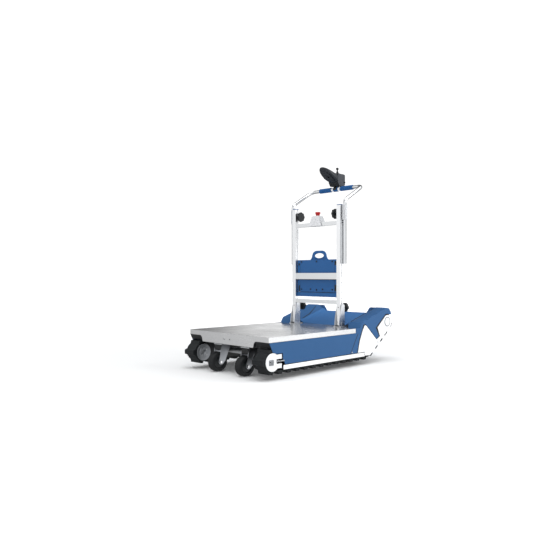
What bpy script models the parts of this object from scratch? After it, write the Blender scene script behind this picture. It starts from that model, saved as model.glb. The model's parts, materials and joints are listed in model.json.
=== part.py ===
"""Tracked stair climbing trolley, metres, +Z up.

X runs across the trolley, the free end of the deck points to -Y and the mast and the
drive end lie towards +Y. The wheels stand on z = 0.
"""

import math

import bmesh
import bpy
from mathutils import Matrix, Vector

# Fit between solids that touch, and the thickness of the sheet metal.
GAP = 0.0004
SHEET = 0.002

# The trolley is drawn from the deck's datum, then moved so that the middle of its
# length comes to the origin.
LENGTH_SHIFT = -0.0040

# Deck: a folded stainless tray.
DECK_HALF_WIDTH = 0.334
DECK_FRONT = -0.530
DECK_SIDE_REAR = 0.198
DECK_CENTRE_REAR = 0.285
DECK_CENTRE_HALF_WIDTH = 0.2435
DECK_TOP = 0.2255
DECK_FLANGE = 0.027
APRON_BOTTOM = 0.164
APRON_HALF_WIDTH = 0.240
APRON_FOOT_HALF_WIDTH = 0.2145

# Tracks: belt edges, belt section and the four circles that the belt runs round,
# as (y, z, radius of the belt's inner face, turn), where turn is -1 for the guide
# that holds the upper run down from outside.
BELT_INNER_X = 0.250
BELT_OUTER_X = 0.333
BELT_THICKNESS = 0.006
LUG_HEIGHT = 0.014
LUG_ROOT = 0.034
LUG_TIP = 0.024
LUG_PITCH = 0.0666
IDLER = (-0.505, 0.097, 0.046, 1)
BEND = (0.3115, 0.081, 0.030, 1)
DRIVE = (0.522, 0.248, 0.037, 1)
GUIDE = (0.210, 0.285, 0.120, -1)
ARC_STEP = math.radians(15)

# Side plates and covers outside the belt.
PLATE_IN_X = 0.3345
PLATE_OUT_X = 0.3385
PANEL_OUT_X = 0.3365
SEAM_BOTTOM = (0.1430, 0.0805)
SEAM_TOP = (0.2560, 0.2585)
ROOF_REAR = (0.520, 0.338)
COVER_INNER_X = 0.2045
COVER_FOLD_X = 0.2525
COVER_FOLD_SLOPE = 0.497

# Running gear under the deck.
CASTOR_X = 0.1155
CASTOR_SWIVEL_Y = -0.454
CASTOR_AXLE = (-0.500, 0.055)
CASTOR_RADIUS = 0.055
CASTOR_WIDTH = 0.049
REAR_WHEEL_X = 0.180
REAR_WHEEL_Y = 0.290
REAR_WHEEL_RADIUS = 0.055

# Mast and handle.
UPRIGHT_IN_X = 0.1734
UPRIGHT_SIZE = 0.030
UPRIGHT_FRONT = 0.2106
UPRIGHT_BOTTOM = 0.2355
UPRIGHT_TOP = 0.9805
MAST_PIVOT = (0.222, 0.2455)
TUBE_X = 0.2195
TUBE_Y = 0.236
TUBE_RADIUS = 0.011
TUBE_BOTTOM = 0.617
HANDLE_KNEE_Z = 1.0117
CROSSBAR = (0.421, 1.118)
STAR_KNOB_Z = 0.930
LOCK_KNOB_Z = 0.344
LOCK_KNOB_X = 0.1805
UPRIGHT_X = UPRIGHT_IN_X + UPRIGHT_SIZE / 2
UPRIGHT_Y = UPRIGHT_FRONT + UPRIGHT_SIZE / 2
STAR_KNOB_Y = UPRIGHT_Y + 0.006

# Controls.
STOP_BUTTON_Y = 0.2345
JOYSTICK = (0.0, 0.4325, 1.2175)
CONSOLE_BOTTOM = 1.1385
CONSOLE_TOP = 1.2170


def clear_scene():
    for item in list(bpy.data.objects):
        bpy.data.objects.remove(item, do_unlink=True)


def srgb(hex_code):
    def channel(start):
        value = int(hex_code[start:start + 2], 16) / 255
        return value / 12.92 if value <= 0.04045 else ((value + 0.055) / 1.055) ** 2.4

    return channel(0), channel(2), channel(4), 1.0


def make_material(name, hex_code, roughness, metallic):
    material = bpy.data.materials.new(name)
    material.use_nodes = True
    shader = material.node_tree.nodes["Principled BSDF"]
    shader.inputs["Base Color"].default_value = srgb(hex_code)
    shader.inputs["Roughness"].default_value = roughness
    shader.inputs["Metallic"].default_value = metallic
    return material


def make_materials():
    return {
        "stainless": make_material("stainless sheet", "C4C6C8", 0.28, 1.0),
        "steel": make_material("zinc plated steel", "9DA0A4", 0.35, 1.0),
        "aluminium": make_material("aluminium profile", "E2E4E6", 0.30, 1.0),
        "plate": make_material("white coated steel", "E8EAEC", 0.35, 0.0),
        "blue": make_material("blue coated sheet", "31609A", 0.30, 0.0),
        "black": make_material("black plastic", "1B1E22", 0.45, 0.0),
        "rubber": make_material("black rubber", "1D2125", 0.80, 0.0),
        "grey": make_material("grey enclosure", "D5D6D8", 0.45, 0.0),
        "red": make_material("red button", "C0282A", 0.35, 0.0),
        "frame": make_material("black coated steel", "2A2C2F", 0.50, 0.0),
    }


def object_from(bm, name="solid"):
    bmesh.ops.recalc_face_normals(bm, faces=bm.faces)
    mesh = bpy.data.meshes.new(name)
    bm.to_mesh(mesh)
    bm.free()
    item = bpy.data.objects.new(name, mesh)
    bpy.context.collection.objects.link(item)
    return item


def swept_face(points, travel):
    """A flat face pushed along a vector."""
    bm = bmesh.new()
    face = bm.faces.new([bm.verts.new(point) for point in points])
    grown = bmesh.ops.extrude_face_region(bm, geom=[face])
    moved = [part for part in grown["geom"] if isinstance(part, bmesh.types.BMVert)]
    bmesh.ops.translate(bm, verts=moved, vec=travel)
    return object_from(bm)


def prism(outline, axis, low, high):
    """An outline in the plane across an axis, extruded from low to high along it."""
    spread = high - low
    if axis == "X":
        return swept_face([(low, a, b) for a, b in outline], (spread, 0, 0))
    if axis == "Y":
        return swept_face([(a, low, b) for a, b in outline], (0, spread, 0))
    return swept_face([(a, b, low) for a, b in outline], (0, 0, spread))


def side_prism(outline, side, inner, outer):
    """A prism along X on one side of the trolley, side +1 right or -1 left."""
    low, high = sorted((side * inner, side * outer))
    return prism(outline, "X", low, high)


def block(x, y, z):
    return prism([(x[0], y[0]), (x[1], y[0]), (x[1], y[1]), (x[0], y[1])], "Z", z[0], z[1])


def side_block(side, x, y, z):
    low, high = sorted((side * x[0], side * x[1]))
    return block((low, high), y, z)


def arc(centre, radius, start, end, steps):
    points = []
    for index in range(steps + 1):
        angle = math.radians(start + (end - start) * index / steps)
        points.append((centre[0] + radius * math.cos(angle), centre[1] + radius * math.sin(angle)))
    return points


def softened(outline, radius, steps=3):
    """The outline with each corner turned into a fillet."""
    points = []
    count = len(outline)
    for index, corner in enumerate(outline):
        here = Vector(corner)
        back = Vector(outline[index - 1]) - here
        ahead = Vector(outline[(index + 1) % count]) - here
        half = back.angle(ahead) / 2
        reach = min(radius / math.tan(half), back.length * 0.45, ahead.length * 0.45)
        first = here + back.normalized() * reach
        last = here + ahead.normalized() * reach
        for step in range(steps + 1):
            t = step / steps
            curved = first * (1 - t) ** 2 + here * (2 * t * (1 - t)) + last * t ** 2
            points.append(tuple(curved))
    return points


def turned(profile, axis, centre, steps=24, closed=False, flat=False):
    """A profile of (distance along the axis, radius) turned round the axis.

    With flat, the facets lie outside the true circle and one of them faces down.
    """
    along = {"X": Vector((1, 0, 0)), "Y": Vector((0, 1, 0)), "Z": Vector((0, 0, 1))}[axis]
    across = {"X": Vector((0, 1, 0)), "Y": Vector((0, 0, 1)), "Z": Vector((1, 0, 0))}[axis]
    origin = Vector(centre)
    grow = 1.0
    if flat:
        grow = 1 / math.cos(math.pi / steps)
        across = Matrix.Rotation(math.pi / steps, 3, along) @ across
    bm = bmesh.new()
    verts = [bm.verts.new(origin + along * reach + across * (radius * grow)) for reach, radius in profile]
    edges = [bm.edges.new(pair) for pair in zip(verts, verts[1:])]
    if closed:
        edges.append(bm.edges.new((verts[-1], verts[0])))
    bmesh.ops.spin(bm, geom=verts + edges, cent=origin, axis=along, angle=math.tau,
                   steps=steps, use_merge=True, use_duplicate=False)
    bmesh.ops.remove_doubles(bm, verts=bm.verts, dist=1e-6)
    return object_from(bm)


def rod(axis, centre, radius, low, high, steps=16):
    return turned([(low, 0), (low, radius), (high, radius), (high, 0)], axis, centre, steps)


def tube_along(points, radius, sides=10):
    """A round bar swept along a path, with rings that lean halfway at each turn."""
    path = [Vector(point) for point in points]
    bm = bmesh.new()
    rings = []
    normal = Vector((1, 0, 0))
    for index, here in enumerate(path):
        before = (here - path[index - 1]).normalized() if index else None
        after = (path[index + 1] - here).normalized() if index + 1 < len(path) else None
        ahead = ((before or after) + (after or before)).normalized()
        normal = (normal - ahead * normal.dot(ahead))
        if normal.length < 1e-3:
            normal = ahead.orthogonal()
        normal.normalize()
        other = ahead.cross(normal)
        ring = []
        for side in range(sides):
            angle = math.tau * side / sides
            ring.append(bm.verts.new(here + (normal * math.cos(angle) + other * math.sin(angle)) * radius))
        rings.append(ring)
    for first, second in zip(rings, rings[1:]):
        for side in range(sides):
            after = (side + 1) % sides
            bm.faces.new((first[side], first[after], second[after], second[side]))
    bm.faces.new(rings[0])
    bm.faces.new(rings[-1])
    return object_from(bm)


def bent_path(corners, radii, steps=4):
    """Straight runs with a round bend at each inner corner."""
    points = [Vector(corners[0])]
    for index in range(1, len(corners) - 1):
        here = Vector(corners[index])
        back = (Vector(corners[index - 1]) - here).normalized()
        ahead = (Vector(corners[index + 1]) - here).normalized()
        half = back.angle(ahead) / 2
        reach = radii[index - 1] / math.tan(half)
        centre = here + (back + ahead).normalized() * (radii[index - 1] / math.sin(half))
        first = here + back * reach - centre
        last = here + ahead * reach - centre
        pivot = first.cross(last)
        for step in range(steps + 1):
            spin = Matrix.Rotation(first.angle(last) * step / steps, 3, pivot)
            points.append(centre + spin @ first)
    points.append(Vector(corners[-1]))
    return points


def combine(base, tools, operation):
    """Boolean the tools into the base, apply the result and drop the tools."""
    for tool in tools:
        modifier = base.modifiers.new(operation.lower(), "BOOLEAN")
        modifier.operation = operation
        modifier.solver = "EXACT"
        modifier.object = tool
    graph = bpy.context.evaluated_depsgraph_get()
    mesh = bpy.data.meshes.new_from_object(base.evaluated_get(graph))
    base.modifiers.clear()
    base.data = mesh
    for tool in tools:
        bpy.data.objects.remove(tool, do_unlink=True)
    return base


def weld(base, *others):
    return combine(base, others, "UNION")


def cut(base, *others):
    return combine(base, others, "DIFFERENCE")


def finish(item, name, material, origin=(0, 0, 0), smooth=35):
    """Name the solid, give it its material, and put its origin on its own axis."""
    item.name = name
    item.data.name = name
    item.data.materials.clear()
    item.data.materials.append(material)
    item.data.transform(Matrix.Translation(-Vector(origin)))
    item.location = origin
    item.data.shade_smooth()
    item.data.set_sharp_from_angle(angle=math.radians(smooth))
    return item


def make_joint(name, position, parent=None):
    empty = bpy.data.objects.new(name, None)
    empty.empty_display_size = 0.03
    bpy.context.collection.objects.link(empty)
    empty.location = position
    if parent:
        attach(parent, empty)
    return empty


def attach(parent, *children):
    bpy.context.view_layer.update()
    for child in children:
        child.parent = parent
        child.matrix_parent_inverse = parent.matrix_world.inverted()


def side_name(name, side):
    return name + ("_right" if side > 0 else "_left")


class BeltPath:
    """The closed line of the belt's inner face: straight runs and arcs round circles."""

    def __init__(self, wheels):
        self.pieces = []
        count = len(wheels)
        headings = []
        for index, wheel in enumerate(wheels):
            after = wheels[(index + 1) % count]
            span = Vector((after[0] - wheel[0], after[1] - wheel[1]))
            lift = after[3] * after[2] - wheel[3] * wheel[2]
            headings.append(math.atan2(span.y, span.x) - math.asin(lift / span.length))
        for index, wheel in enumerate(wheels):
            after = wheels[(index + 1) % count]
            heading = headings[index]
            start = self.on_wheel(wheel, heading)
            self.pieces.append(("run", start, self.on_wheel(after, heading), heading))
            turn = (headings[(index + 1) % count] - heading + math.pi) % math.tau - math.pi
            self.pieces.append(("arc", after, heading, turn))
        self.lengths = [self.piece_length(piece) for piece in self.pieces]
        self.length = sum(self.lengths)

    @staticmethod
    def on_wheel(wheel, heading):
        normal = Vector((-math.sin(heading), math.cos(heading)))
        return Vector((wheel[0], wheel[1])) - normal * (wheel[3] * wheel[2])

    @staticmethod
    def piece_length(piece):
        if piece[0] == "run":
            return (piece[2] - piece[1]).length
        return abs(piece[3]) * piece[1][2]

    def place(self, distance):
        """The point, heading and outward normal at a distance along the belt."""
        left = distance % self.length
        for piece, length in zip(self.pieces, self.lengths):
            if left <= length:
                break
            left -= length
        if piece[0] == "run":
            heading = piece[3]
            point = piece[1].lerp(piece[2], left / length)
        else:
            heading = piece[2] + piece[3] * left / length
            point = self.on_wheel(piece[1], heading)
        return point, heading, Vector((math.sin(heading), -math.cos(heading)))

    def bends(self):
        """Distances at which the line needs a point: the ends and steps of each arc."""
        marks = []
        start = 0
        for piece, length in zip(self.pieces, self.lengths):
            if piece[0] == "arc":
                steps = max(2, math.ceil(abs(piece[3]) / ARC_STEP))
                marks += [start + length * step / steps for step in range(steps + 1)]
            start += length
        return marks

    def outline(self):
        return [tuple(self.place(mark)[0]) for mark in self.bends()]


def lugged_outline(path):
    """The belt's outer line with a tapered drive lug at every pitch."""
    count = round(path.length / LUG_PITCH)
    pitch = path.length / count
    phase = DECK_FRONT + 0.019 - IDLER[0]
    bends = [mark % path.length for mark in path.bends()]
    points = []
    for index in range(count):
        centre = (phase + index * pitch) % path.length
        middle, heading, outward = path.place(centre)
        along = Vector((math.cos(heading), math.sin(heading)))
        first, _, first_out = path.place(centre - LUG_ROOT / 2)
        last, _, last_out = path.place(centre + LUG_ROOT / 2)
        tip = middle + outward * (BELT_THICKNESS + LUG_HEIGHT)
        points.append(first + first_out * BELT_THICKNESS)
        points.append(tip - along * LUG_TIP / 2)
        points.append(tip + along * LUG_TIP / 2)
        points.append(last + last_out * BELT_THICKNESS)
        start = centre + LUG_ROOT / 2
        room = pitch - LUG_ROOT
        between = sorted((mark - start) % path.length for mark in bends)
        margin = 0.002
        for reach in between:
            if margin < reach < room - margin:
                point, _, out = path.place(start + reach)
                points.append(point + out * BELT_THICKNESS)
    return [tuple(point) for point in points]


def make_tracks(paint):
    path = BeltPath([IDLER, BEND, DRIVE, GUIDE])
    for side in (1, -1):
        belt = side_prism(lugged_outline(path), side, BELT_INNER_X, BELT_OUTER_X)
        hollow = side_prism(path.outline(), side, BELT_INNER_X - 0.01, BELT_OUTER_X + 0.01)
        finish(cut(belt, hollow), side_name("track_belt", side), paint["rubber"])
        make_rail(side, paint)
        make_inner_plate(side, paint)
        make_end_plate(side, paint)
        make_knuckle_plate(side, paint)
        make_boom_plate(side, paint)


def make_rail(side, paint):
    """Aluminium slide rail inside the belt, with a long groove in its outer face."""
    low, foot, top = 0.0525, 0.0585, 0.0755
    inner, outer, groove = 0.2485, PLATE_OUT_X, 0.0020
    section = [(inner, low), (inner + 0.006, low), (inner + 0.006, foot), (inner + 0.018, foot),
               (inner + 0.018, low), (outer - 0.022, low), (outer - 0.022, foot),
               (outer - 0.010, foot), (outer - 0.010, low), (outer, low),
               (outer, 0.0630), (outer - groove, 0.0645), (outer - groove, 0.0655),
               (outer, 0.0670), (outer, top), (inner, top)]
    rail = prism([(side * x, z) for x, z in section], "Y", -0.426, 0.2785)
    finish(rail, side_name("track_rail", side), paint["aluminium"])


def make_inner_plate(side, paint):
    """Steel plate on the trolley side of the belt, round at the idler and the drive."""
    line = BeltPath([(IDLER[0], IDLER[1], 0.0476, 1), (BEND[0], BEND[1], 0.030, 1),
                     (DRIVE[0], DRIVE[1], 0.043, 1), (GUIDE[0], GUIDE[1], 0.116, -1)])
    plate = side_prism(line.outline(), side, 0.2440, 0.2480)
    hub = turned([(0.2350, 0), (0.2350, 0.013), (0.2380, 0.017), (0.2445, 0.017), (0.2445, 0)],
                 "X", (0, IDLER[0], IDLER[1]), 16)
    if side < 0:
        hub.data.transform(Matrix.Scale(-1, 4, (1, 0, 0)))
        hub.data.flip_normals()
    plate = weld(plate, hub)
    bore = rod("X", (0, DRIVE[0], DRIVE[1]), 0.0108, side * 0.24 - 0.02, side * 0.24 + 0.02)
    finish(cut(plate, bore), side_name("inner_plate", side), paint["steel"])


def make_end_plate(side, paint):
    """Idler bearer: round plate with a slotted arm, sliding block, axle and tensioner."""
    y, z = IDLER[0], IDLER[1]
    arm_end, arm_top, arm_low = -0.4395, 0.1345, 0.0635
    outline = arc((y, z), 0.0476, 51.5, 315, 22)
    outline += [(arm_end, arm_low), (arm_end, arm_top)]
    plate = side_prism(outline, side, PLATE_IN_X, PLATE_OUT_X)
    slot = side_prism([(-0.478, 0.0870), (-0.42, 0.0870), (-0.42, 0.1115), (-0.478, 0.1115)],
                      side, 0.32, 0.35)
    plate = cut(plate, slot)
    slider = softened([(-0.5320, 0.0820), (-0.5000, 0.0820), (-0.5000, 0.1110),
                       (-0.5320, 0.1110)], 0.003, 2)
    raised = side_prism(slider, side, 0.3380, 0.3400)
    ends = sorted((side * 0.2490, side * 0.3390))
    axle = rod("X", (0, y, z), 0.0080, ends[0], ends[1], 12)
    screw = rod("Y", (side * 0.3365, 0, 0.0990), 0.0035, -0.4790, -0.4195, 10)
    nut = rod("Y", (side * 0.3365, 0, 0.0990), 0.0060, -0.4520, -0.4460, 6)
    finish(weld(plate, raised, axle, screw, nut), side_name("end_plate", side), paint["plate"])


def knuckle_outline(grow=0.0):
    """Three-cornered plate over the bend roller; grow opens it for the cover's cut-out."""
    return [(0.2130 - grow, 0.0790), (0.2325 - grow, 0.1490), (0.2605 - grow, 0.2090),
            (0.2790 - grow, 0.2360 + grow), (0.2870, 0.2400 + grow), (0.2960 + grow / 2, 0.2370 + grow),
            (0.4035 + grow, 0.1440 + grow)]


def make_knuckle_plate(side, paint):
    lower = [(0.4195, 0.1190), (0.3800, 0.0875), (0.3560, 0.0690), (0.3339, 0.0545)]
    outline = knuckle_outline() + lower + [(0.2830, 0.0560), (0.2830, 0.0790)]
    plate = side_prism(outline, side, PLATE_IN_X, PLATE_OUT_X)
    ends = sorted((side * 0.2490, side * 0.3370))
    axle = rod("X", (0, BEND[0], BEND[1]), 0.0065, ends[0], ends[1], 12)
    finish(weld(plate, axle), side_name("knuckle_plate", side), paint["plate"])


def boom_outline():
    """Plate that carries the drive shaft at the raised rear end of the track."""
    head = arc((DRIVE[0], DRIVE[1]), 0.0435, -52, 124, 13)
    return head + [(0.4150, 0.2185), (0.4410, 0.1630), (0.4068, 0.1445), (0.4228, 0.1205)]


def make_boom_plate(side, paint):
    plate = side_prism(boom_outline(), side, PLATE_IN_X, PLATE_OUT_X)
    ring = turned([(0.3380, 0.021), (0.3380, 0.027), (0.3405, 0.027), (0.3405, 0.021)],
                  "X", (0, DRIVE[0], DRIVE[1]), 16, closed=True)
    if side < 0:
        ring.data.transform(Matrix.Scale(-1, 4, (1, 0, 0)))
        ring.data.flip_normals()
    plate = weld(plate, ring)
    bore = rod("X", (0, DRIVE[0], DRIVE[1]), 0.0108, side * 0.336 - 0.02, side * 0.336 + 0.02)
    finish(cut(plate, bore), side_name("boom_plate", side), paint["plate"])


def make_track_wheels(paint):
    """Idlers and bend rollers on fixed axles; drums and their common drive shaft."""
    middle = (BELT_INNER_X + BELT_OUTER_X) / 2
    for side in (1, -1):
        x = side * middle
        idler = turned([(-0.040, 0.0088), (-0.040, 0.018), (-0.005, 0.018), (-0.005, 0.036),
                        (-0.037, 0.036), (-0.037, 0.0443), (0.037, 0.0443), (0.037, 0.036),
                        (0.005, 0.036), (0.005, 0.018), (0.040, 0.018), (0.040, 0.0088)],
                       "X", (x, IDLER[0], IDLER[1]), 16, closed=True)
        finish(idler, side_name("idler_wheel", side), paint["black"], (x, IDLER[0], IDLER[1]))
        roller = turned([(-0.040, 0.0072), (-0.040, 0.014), (-0.030, 0.014), (-0.030, 0.0285),
                         (0.030, 0.0285), (0.030, 0.014), (0.040, 0.014), (0.040, 0.0072)],
                        "X", (x, BEND[0], BEND[1]), 16, closed=True)
        finish(roller, side_name("bend_roller", side), paint["black"], (x, BEND[0], BEND[1]))
        drum = prism(drum_outline(), "X", x - 0.034, x + 0.034)
        bore = rod("X", (0, DRIVE[0], DRIVE[1]), 0.0104, x - 0.05, x + 0.05)
        drum = cut(drum, bore)
        finish(drum, side_name("drive_drum", side), paint["steel"], (x, DRIVE[0], DRIVE[1]))
    shaft = rod("X", (0, DRIVE[0], DRIVE[1]), 0.0100, -0.3365, 0.3365, 20)
    finish(shaft, "drive_shaft", paint["steel"], (0, DRIVE[0], DRIVE[1]))


def drum_outline():
    """Ribbed drive drum, ten rounded ribs under the belt."""
    ribs, high, low = 10, 0.0352, 0.0305
    points = []
    for rib in range(ribs):
        start = 360 / ribs * rib
        points += arc((DRIVE[0], DRIVE[1]), high, start - 9, start + 9, 2)
        points += arc((DRIVE[0], DRIVE[1]), low, start + 14, start + 22, 1)
    return points


def seam_point(z, offset=0.0):
    reach = (z - SEAM_BOTTOM[1]) / (SEAM_TOP[1] - SEAM_BOTTOM[1])
    return SEAM_BOTTOM[0] + (SEAM_TOP[0] - SEAM_BOTTOM[0]) * reach + offset, z


def make_side_panels(paint):
    top = 0.1970
    for side in (1, -1):
        outline = [(-0.5270, top)] + arc((IDLER[0], IDLER[1]), 0.0497, 86, 58, 4)
        outline += [(-0.4290, 0.1385), (-0.4275, 0.1040), (-0.4185, 0.1040), (-0.4185, 0.0940),
                    (-0.4110, 0.0790)]
        outline += [seam_point(0.0790, -0.0010), seam_point(DECK_TOP, -0.0010)]
        outline += [(DECK_SIDE_REAR + 0.0010, DECK_TOP), (DECK_SIDE_REAR + 0.0010, top)]
        panel = side_prism(outline, side, PLATE_IN_X, PANEL_OUT_X)
        hem = side_block(side, (0.3180, 0.3355), (-0.510, 0.190), (top - SHEET, top - 0.0002))
        finish(weld(panel, hem), side_name("side_panel", side), paint["blue"])


def rear_skin_outline():
    knuckle = knuckle_outline(0.0045)
    boom_arc = arc((DRIVE[0], DRIVE[1]), 0.0520, 62, 124, 5)
    return ([seam_point(0.0790), seam_point(SEAM_TOP[1]), ROOF_REAR, (0.5420, 0.3320),
             (0.5600, 0.3120), (0.5665, 0.2940)] + boom_arc
            + [(0.4035, 0.2185), (0.4340, 0.1660)] + knuckle[::-1])


def fold_wedge(side, drop, rear):
    """Space above the leaning inner flank of a rear cover, up to its rear wall."""
    rise = (ROOF_REAR[1] - SEAM_TOP[1]) / (ROOF_REAR[0] - SEAM_TOP[0])
    start, reach = 0.2000, 0.0300
    fold = SEAM_TOP[1] + rise * (start - SEAM_TOP[0]) - drop
    low_x = COVER_INNER_X - reach
    outline = [(COVER_FOLD_X + reach, fold + COVER_FOLD_SLOPE * reach),
               (low_x, fold + COVER_FOLD_SLOPE * (low_x - COVER_FOLD_X)),
               (low_x, fold + 0.2), (COVER_FOLD_X + reach, fold + 0.2)]
    travel = rear - start
    return swept_face([(side * x, start, z) for x, z in outline], (0, travel, travel * rise))


def make_rear_covers(paint):
    """Folded covers over the raised ends of the tracks, open below and behind."""
    corner_near, corner_far = (0.2480, 0.2330), (COVER_INNER_X, 0.2900)
    wall, wall_rear, out = 0.0022, 0.5278, COVER_INNER_X - 0.02
    roof = [seam_point(0.2268), SEAM_TOP, ROOF_REAR, (0.5420, 0.3320), (0.5600, 0.3120),
            (0.5665, 0.2940)]
    for side in (1, -1):
        body = side_prism(roof + [(0.5665, 0.2640), (0.4500, 0.2640), (0.3000, 0.2268)],
                          side, COVER_INNER_X, 0.3355)
        inside = [seam_point(0.1500, wall * 1.4), (SEAM_TOP[0] + wall, SEAM_TOP[1] - wall),
                  (ROOF_REAR[0] - 0.001, ROOF_REAR[1] - wall * 1.05), (0.5405, 0.3298),
                  (0.5580, 0.3110), (0.5640, 0.2950), (0.5900, 0.2950), (0.5900, 0.1500)]
        hollow = side_prism(inside, side, COVER_INNER_X + wall, 0.3500)
        slope = wall * 1.3
        inner_corner = prism([(side * out, 0.2000), (side * (corner_near[0] + slope), 0.2000),
                              (side * (corner_near[0] + slope), corner_near[1]),
                              (side * (COVER_INNER_X + slope), corner_far[1]),
                              (side * out, corner_far[1])], "Z", 0.10, 0.40)
        hollow = cut(hollow, inner_corner, fold_wedge(side, wall * 1.2, wall_rear + wall))
        outer_corner = prism([(side * out, 0.2000), (side * corner_near[0], 0.2000),
                              (side * corner_near[0], corner_near[1]),
                              (side * COVER_INNER_X, corner_far[1]),
                              (side * out, corner_far[1])], "Z", 0.10, 0.40)
        shell = cut(body, outer_corner, fold_wedge(side, 0, wall_rear), hollow)
        front = side_prism([seam_point(0.1900), seam_point(0.2300), seam_point(0.2300, wall * 1.4),
                            seam_point(0.1900, wall * 1.4)], side, corner_near[0], 0.3355)
        skin = side_prism(rear_skin_outline(), side, PLATE_IN_X, PANEL_OUT_X)
        finish(weld(shell, front, skin), side_name("rear_cover", side), paint["blue"])


def make_centre_cover(paint):
    """Channel-shaped cover between the rear covers, with its rear wall."""
    front_y, rear_y = 0.2865, 0.5300
    front_z, rear_z = 0.2262, 0.2985
    floor_half, rim_half, depth = 0.1680, 0.2035, 0.0176
    skin, ear_half, ear_top = 0.0026, 0.1945, 0.3350
    section = [(-rim_half, depth), (-floor_half, 0), (floor_half, 0), (rim_half, depth),
               (rim_half, depth - 0.0030), (floor_half + 0.0008, -skin),
               (-floor_half - 0.0008, -skin), (-rim_half, depth - 0.0030)]
    channel = swept_face([(x, front_y, front_z + z) for x, z in section],
                         (0, rear_y - front_y, rear_z - front_z))
    rear = prism([(rear_y - 0.002, rear_z), (rear_y, rear_z), (0.5625, 0.2640), (0.5625, 0.1500),
                  (0.5600, 0.1500), (0.5600, 0.2630), (rear_y - 0.002, rear_z - 0.0030)],
                 "X", -rim_half, rim_half)
    edge = [(rim_half, rear_z - 0.0025), (rim_half, ear_top), (ear_half, ear_top),
            (floor_half + 0.004, rear_z + 0.005), (floor_half, rear_z)]
    ears = prism(edge + [(-x, z) for x, z in reversed(edge)], "Y", rear_y - 0.0022, rear_y - 0.0001)
    finish(weld(channel, ears, rear), "centre_cover", paint["blue"])


def make_deck(paint):
    """Deck sheet with its side flanges and the front apron between the tracks."""
    top, under = DECK_TOP, DECK_TOP - SHEET
    low = DECK_TOP - DECK_FLANGE
    half, front = DECK_HALF_WIDTH, DECK_FRONT
    sheet = prism([(-half, front), (half, front), (half, DECK_SIDE_REAR),
                   (DECK_CENTRE_HALF_WIDTH, DECK_SIDE_REAR), (DECK_CENTRE_HALF_WIDTH, DECK_CENTRE_REAR),
                   (-DECK_CENTRE_HALF_WIDTH, DECK_CENTRE_REAR),
                   (-DECK_CENTRE_HALF_WIDTH, DECK_SIDE_REAR), (-half, DECK_SIDE_REAR)],
                  "Z", under, top)
    overlap = top - 0.0005
    flanges = [side_block(side, (half - SHEET, half), (front, DECK_SIDE_REAR), (low, overlap))
               for side in (1, -1)]
    corner = 0.020
    apron = [(-half, overlap), (-half, low)]
    apron += arc((-APRON_HALF_WIDTH, low - corner), corner, 90, 20, 4)
    apron += [(-APRON_FOOT_HALF_WIDTH, APRON_BOTTOM)]
    apron += [(-x, z) for x, z in reversed(apron)]
    front_sheet = prism(apron, "Y", front, front + SHEET)
    deck = weld(sheet, front_sheet, *flanges)
    holes = [rod("Y", (x, 0, 0.1920), 0.0032, front - 0.01, front + 0.01, 12)
             for x in (-0.0245, 0.0245)]
    finish(cut(deck, *holes), "deck_plate", paint["stainless"])


def make_front_guards(paint):
    """Folded guard plates that close the gap above the front of each track."""
    profile = [(-0.5270, 0.1980), (-0.5240, 0.1980), (-0.5240, 0.1950), (-0.5110, 0.1690),
               (-0.5135, 0.1678), (-0.5270, 0.1942)]
    lip = [(-0.5270, 0.1952), (-0.4900, 0.1952), (-0.4900, 0.1980), (-0.5270, 0.1980)]
    for side in (1, -1):
        guard = weld(side_prism(profile, side, 0.2250, 0.3310), side_prism(lip, side, 0.2400, 0.3150))
        finish(guard, side_name("front_guard", side), paint["black"])


def make_chassis(paint):
    """Welded frame: long tubes, cross tubes, hangers, tie tube and drive arms."""
    low, top = 0.1850, 0.2230
    parts = []
    for side in (1, -1):
        parts.append(side_block(side, (0.1960, 0.2360), (-0.5000, 0.3500), (low, top)))
        hanger = [(-0.3600, low + 0.004), (-0.3530, 0.0900), (-0.3350, 0.0780), (-0.3170, 0.0900),
                  (-0.3100, low + 0.004)]
        parts.append(side_prism(hanger, side, 0.2160, 0.2220))
        axle_hanger = [(0.2500, low + 0.004), (0.2720, 0.0480)]
        axle_hanger += arc((REAR_WHEEL_Y, REAR_WHEEL_RADIUS), 0.0180, 205, 335, 5)
        axle_hanger += [(0.3300, low + 0.004)]
        parts.append(side_prism(axle_hanger, side, 0.2080, 0.2130))
        arm = [(0.2800, low + 0.004), (0.3480, low + 0.004)]
        arm += arc((DRIVE[0], DRIVE[1]), 0.0240, -55, 110, 7)
        arm += [(0.3480, top - 0.002), (0.2800, top - 0.002)]
        parts.append(side_prism(arm, side, 0.2280, 0.2340))
    for y in (-0.4700, -0.1650, 0.1250):
        parts.append(block((-0.2000, 0.2000), (y, y + 0.0300), (0.1930, top - 0.0005)))
    parts.append(rod("X", (0, -0.3350, 0.1000), 0.0170, -0.2434, 0.2434, 14))
    parts.append(rod("X", (0, REAR_WHEEL_Y, REAR_WHEEL_RADIUS), 0.0080, -0.2160, 0.2160, 16))
    parts.append(block((-0.2300, 0.2300), (0.4350, 0.4600), (0.1650, 0.1945)))
    posts = [side_block(side, (0.2280, 0.2340), (0.4300, 0.4650), (0.1650, 0.2400)) for side in (1, -1)]
    frame = weld(parts[0], *(parts[1:] + posts))
    bores = [rod("X", (0, DRIVE[0], DRIVE[1]), 0.0106, side * 0.231 - 0.02, side * 0.231 + 0.02)
             for side in (1, -1)]
    finish(cut(frame, *bores), "chassis_frame", paint["frame"])


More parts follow.
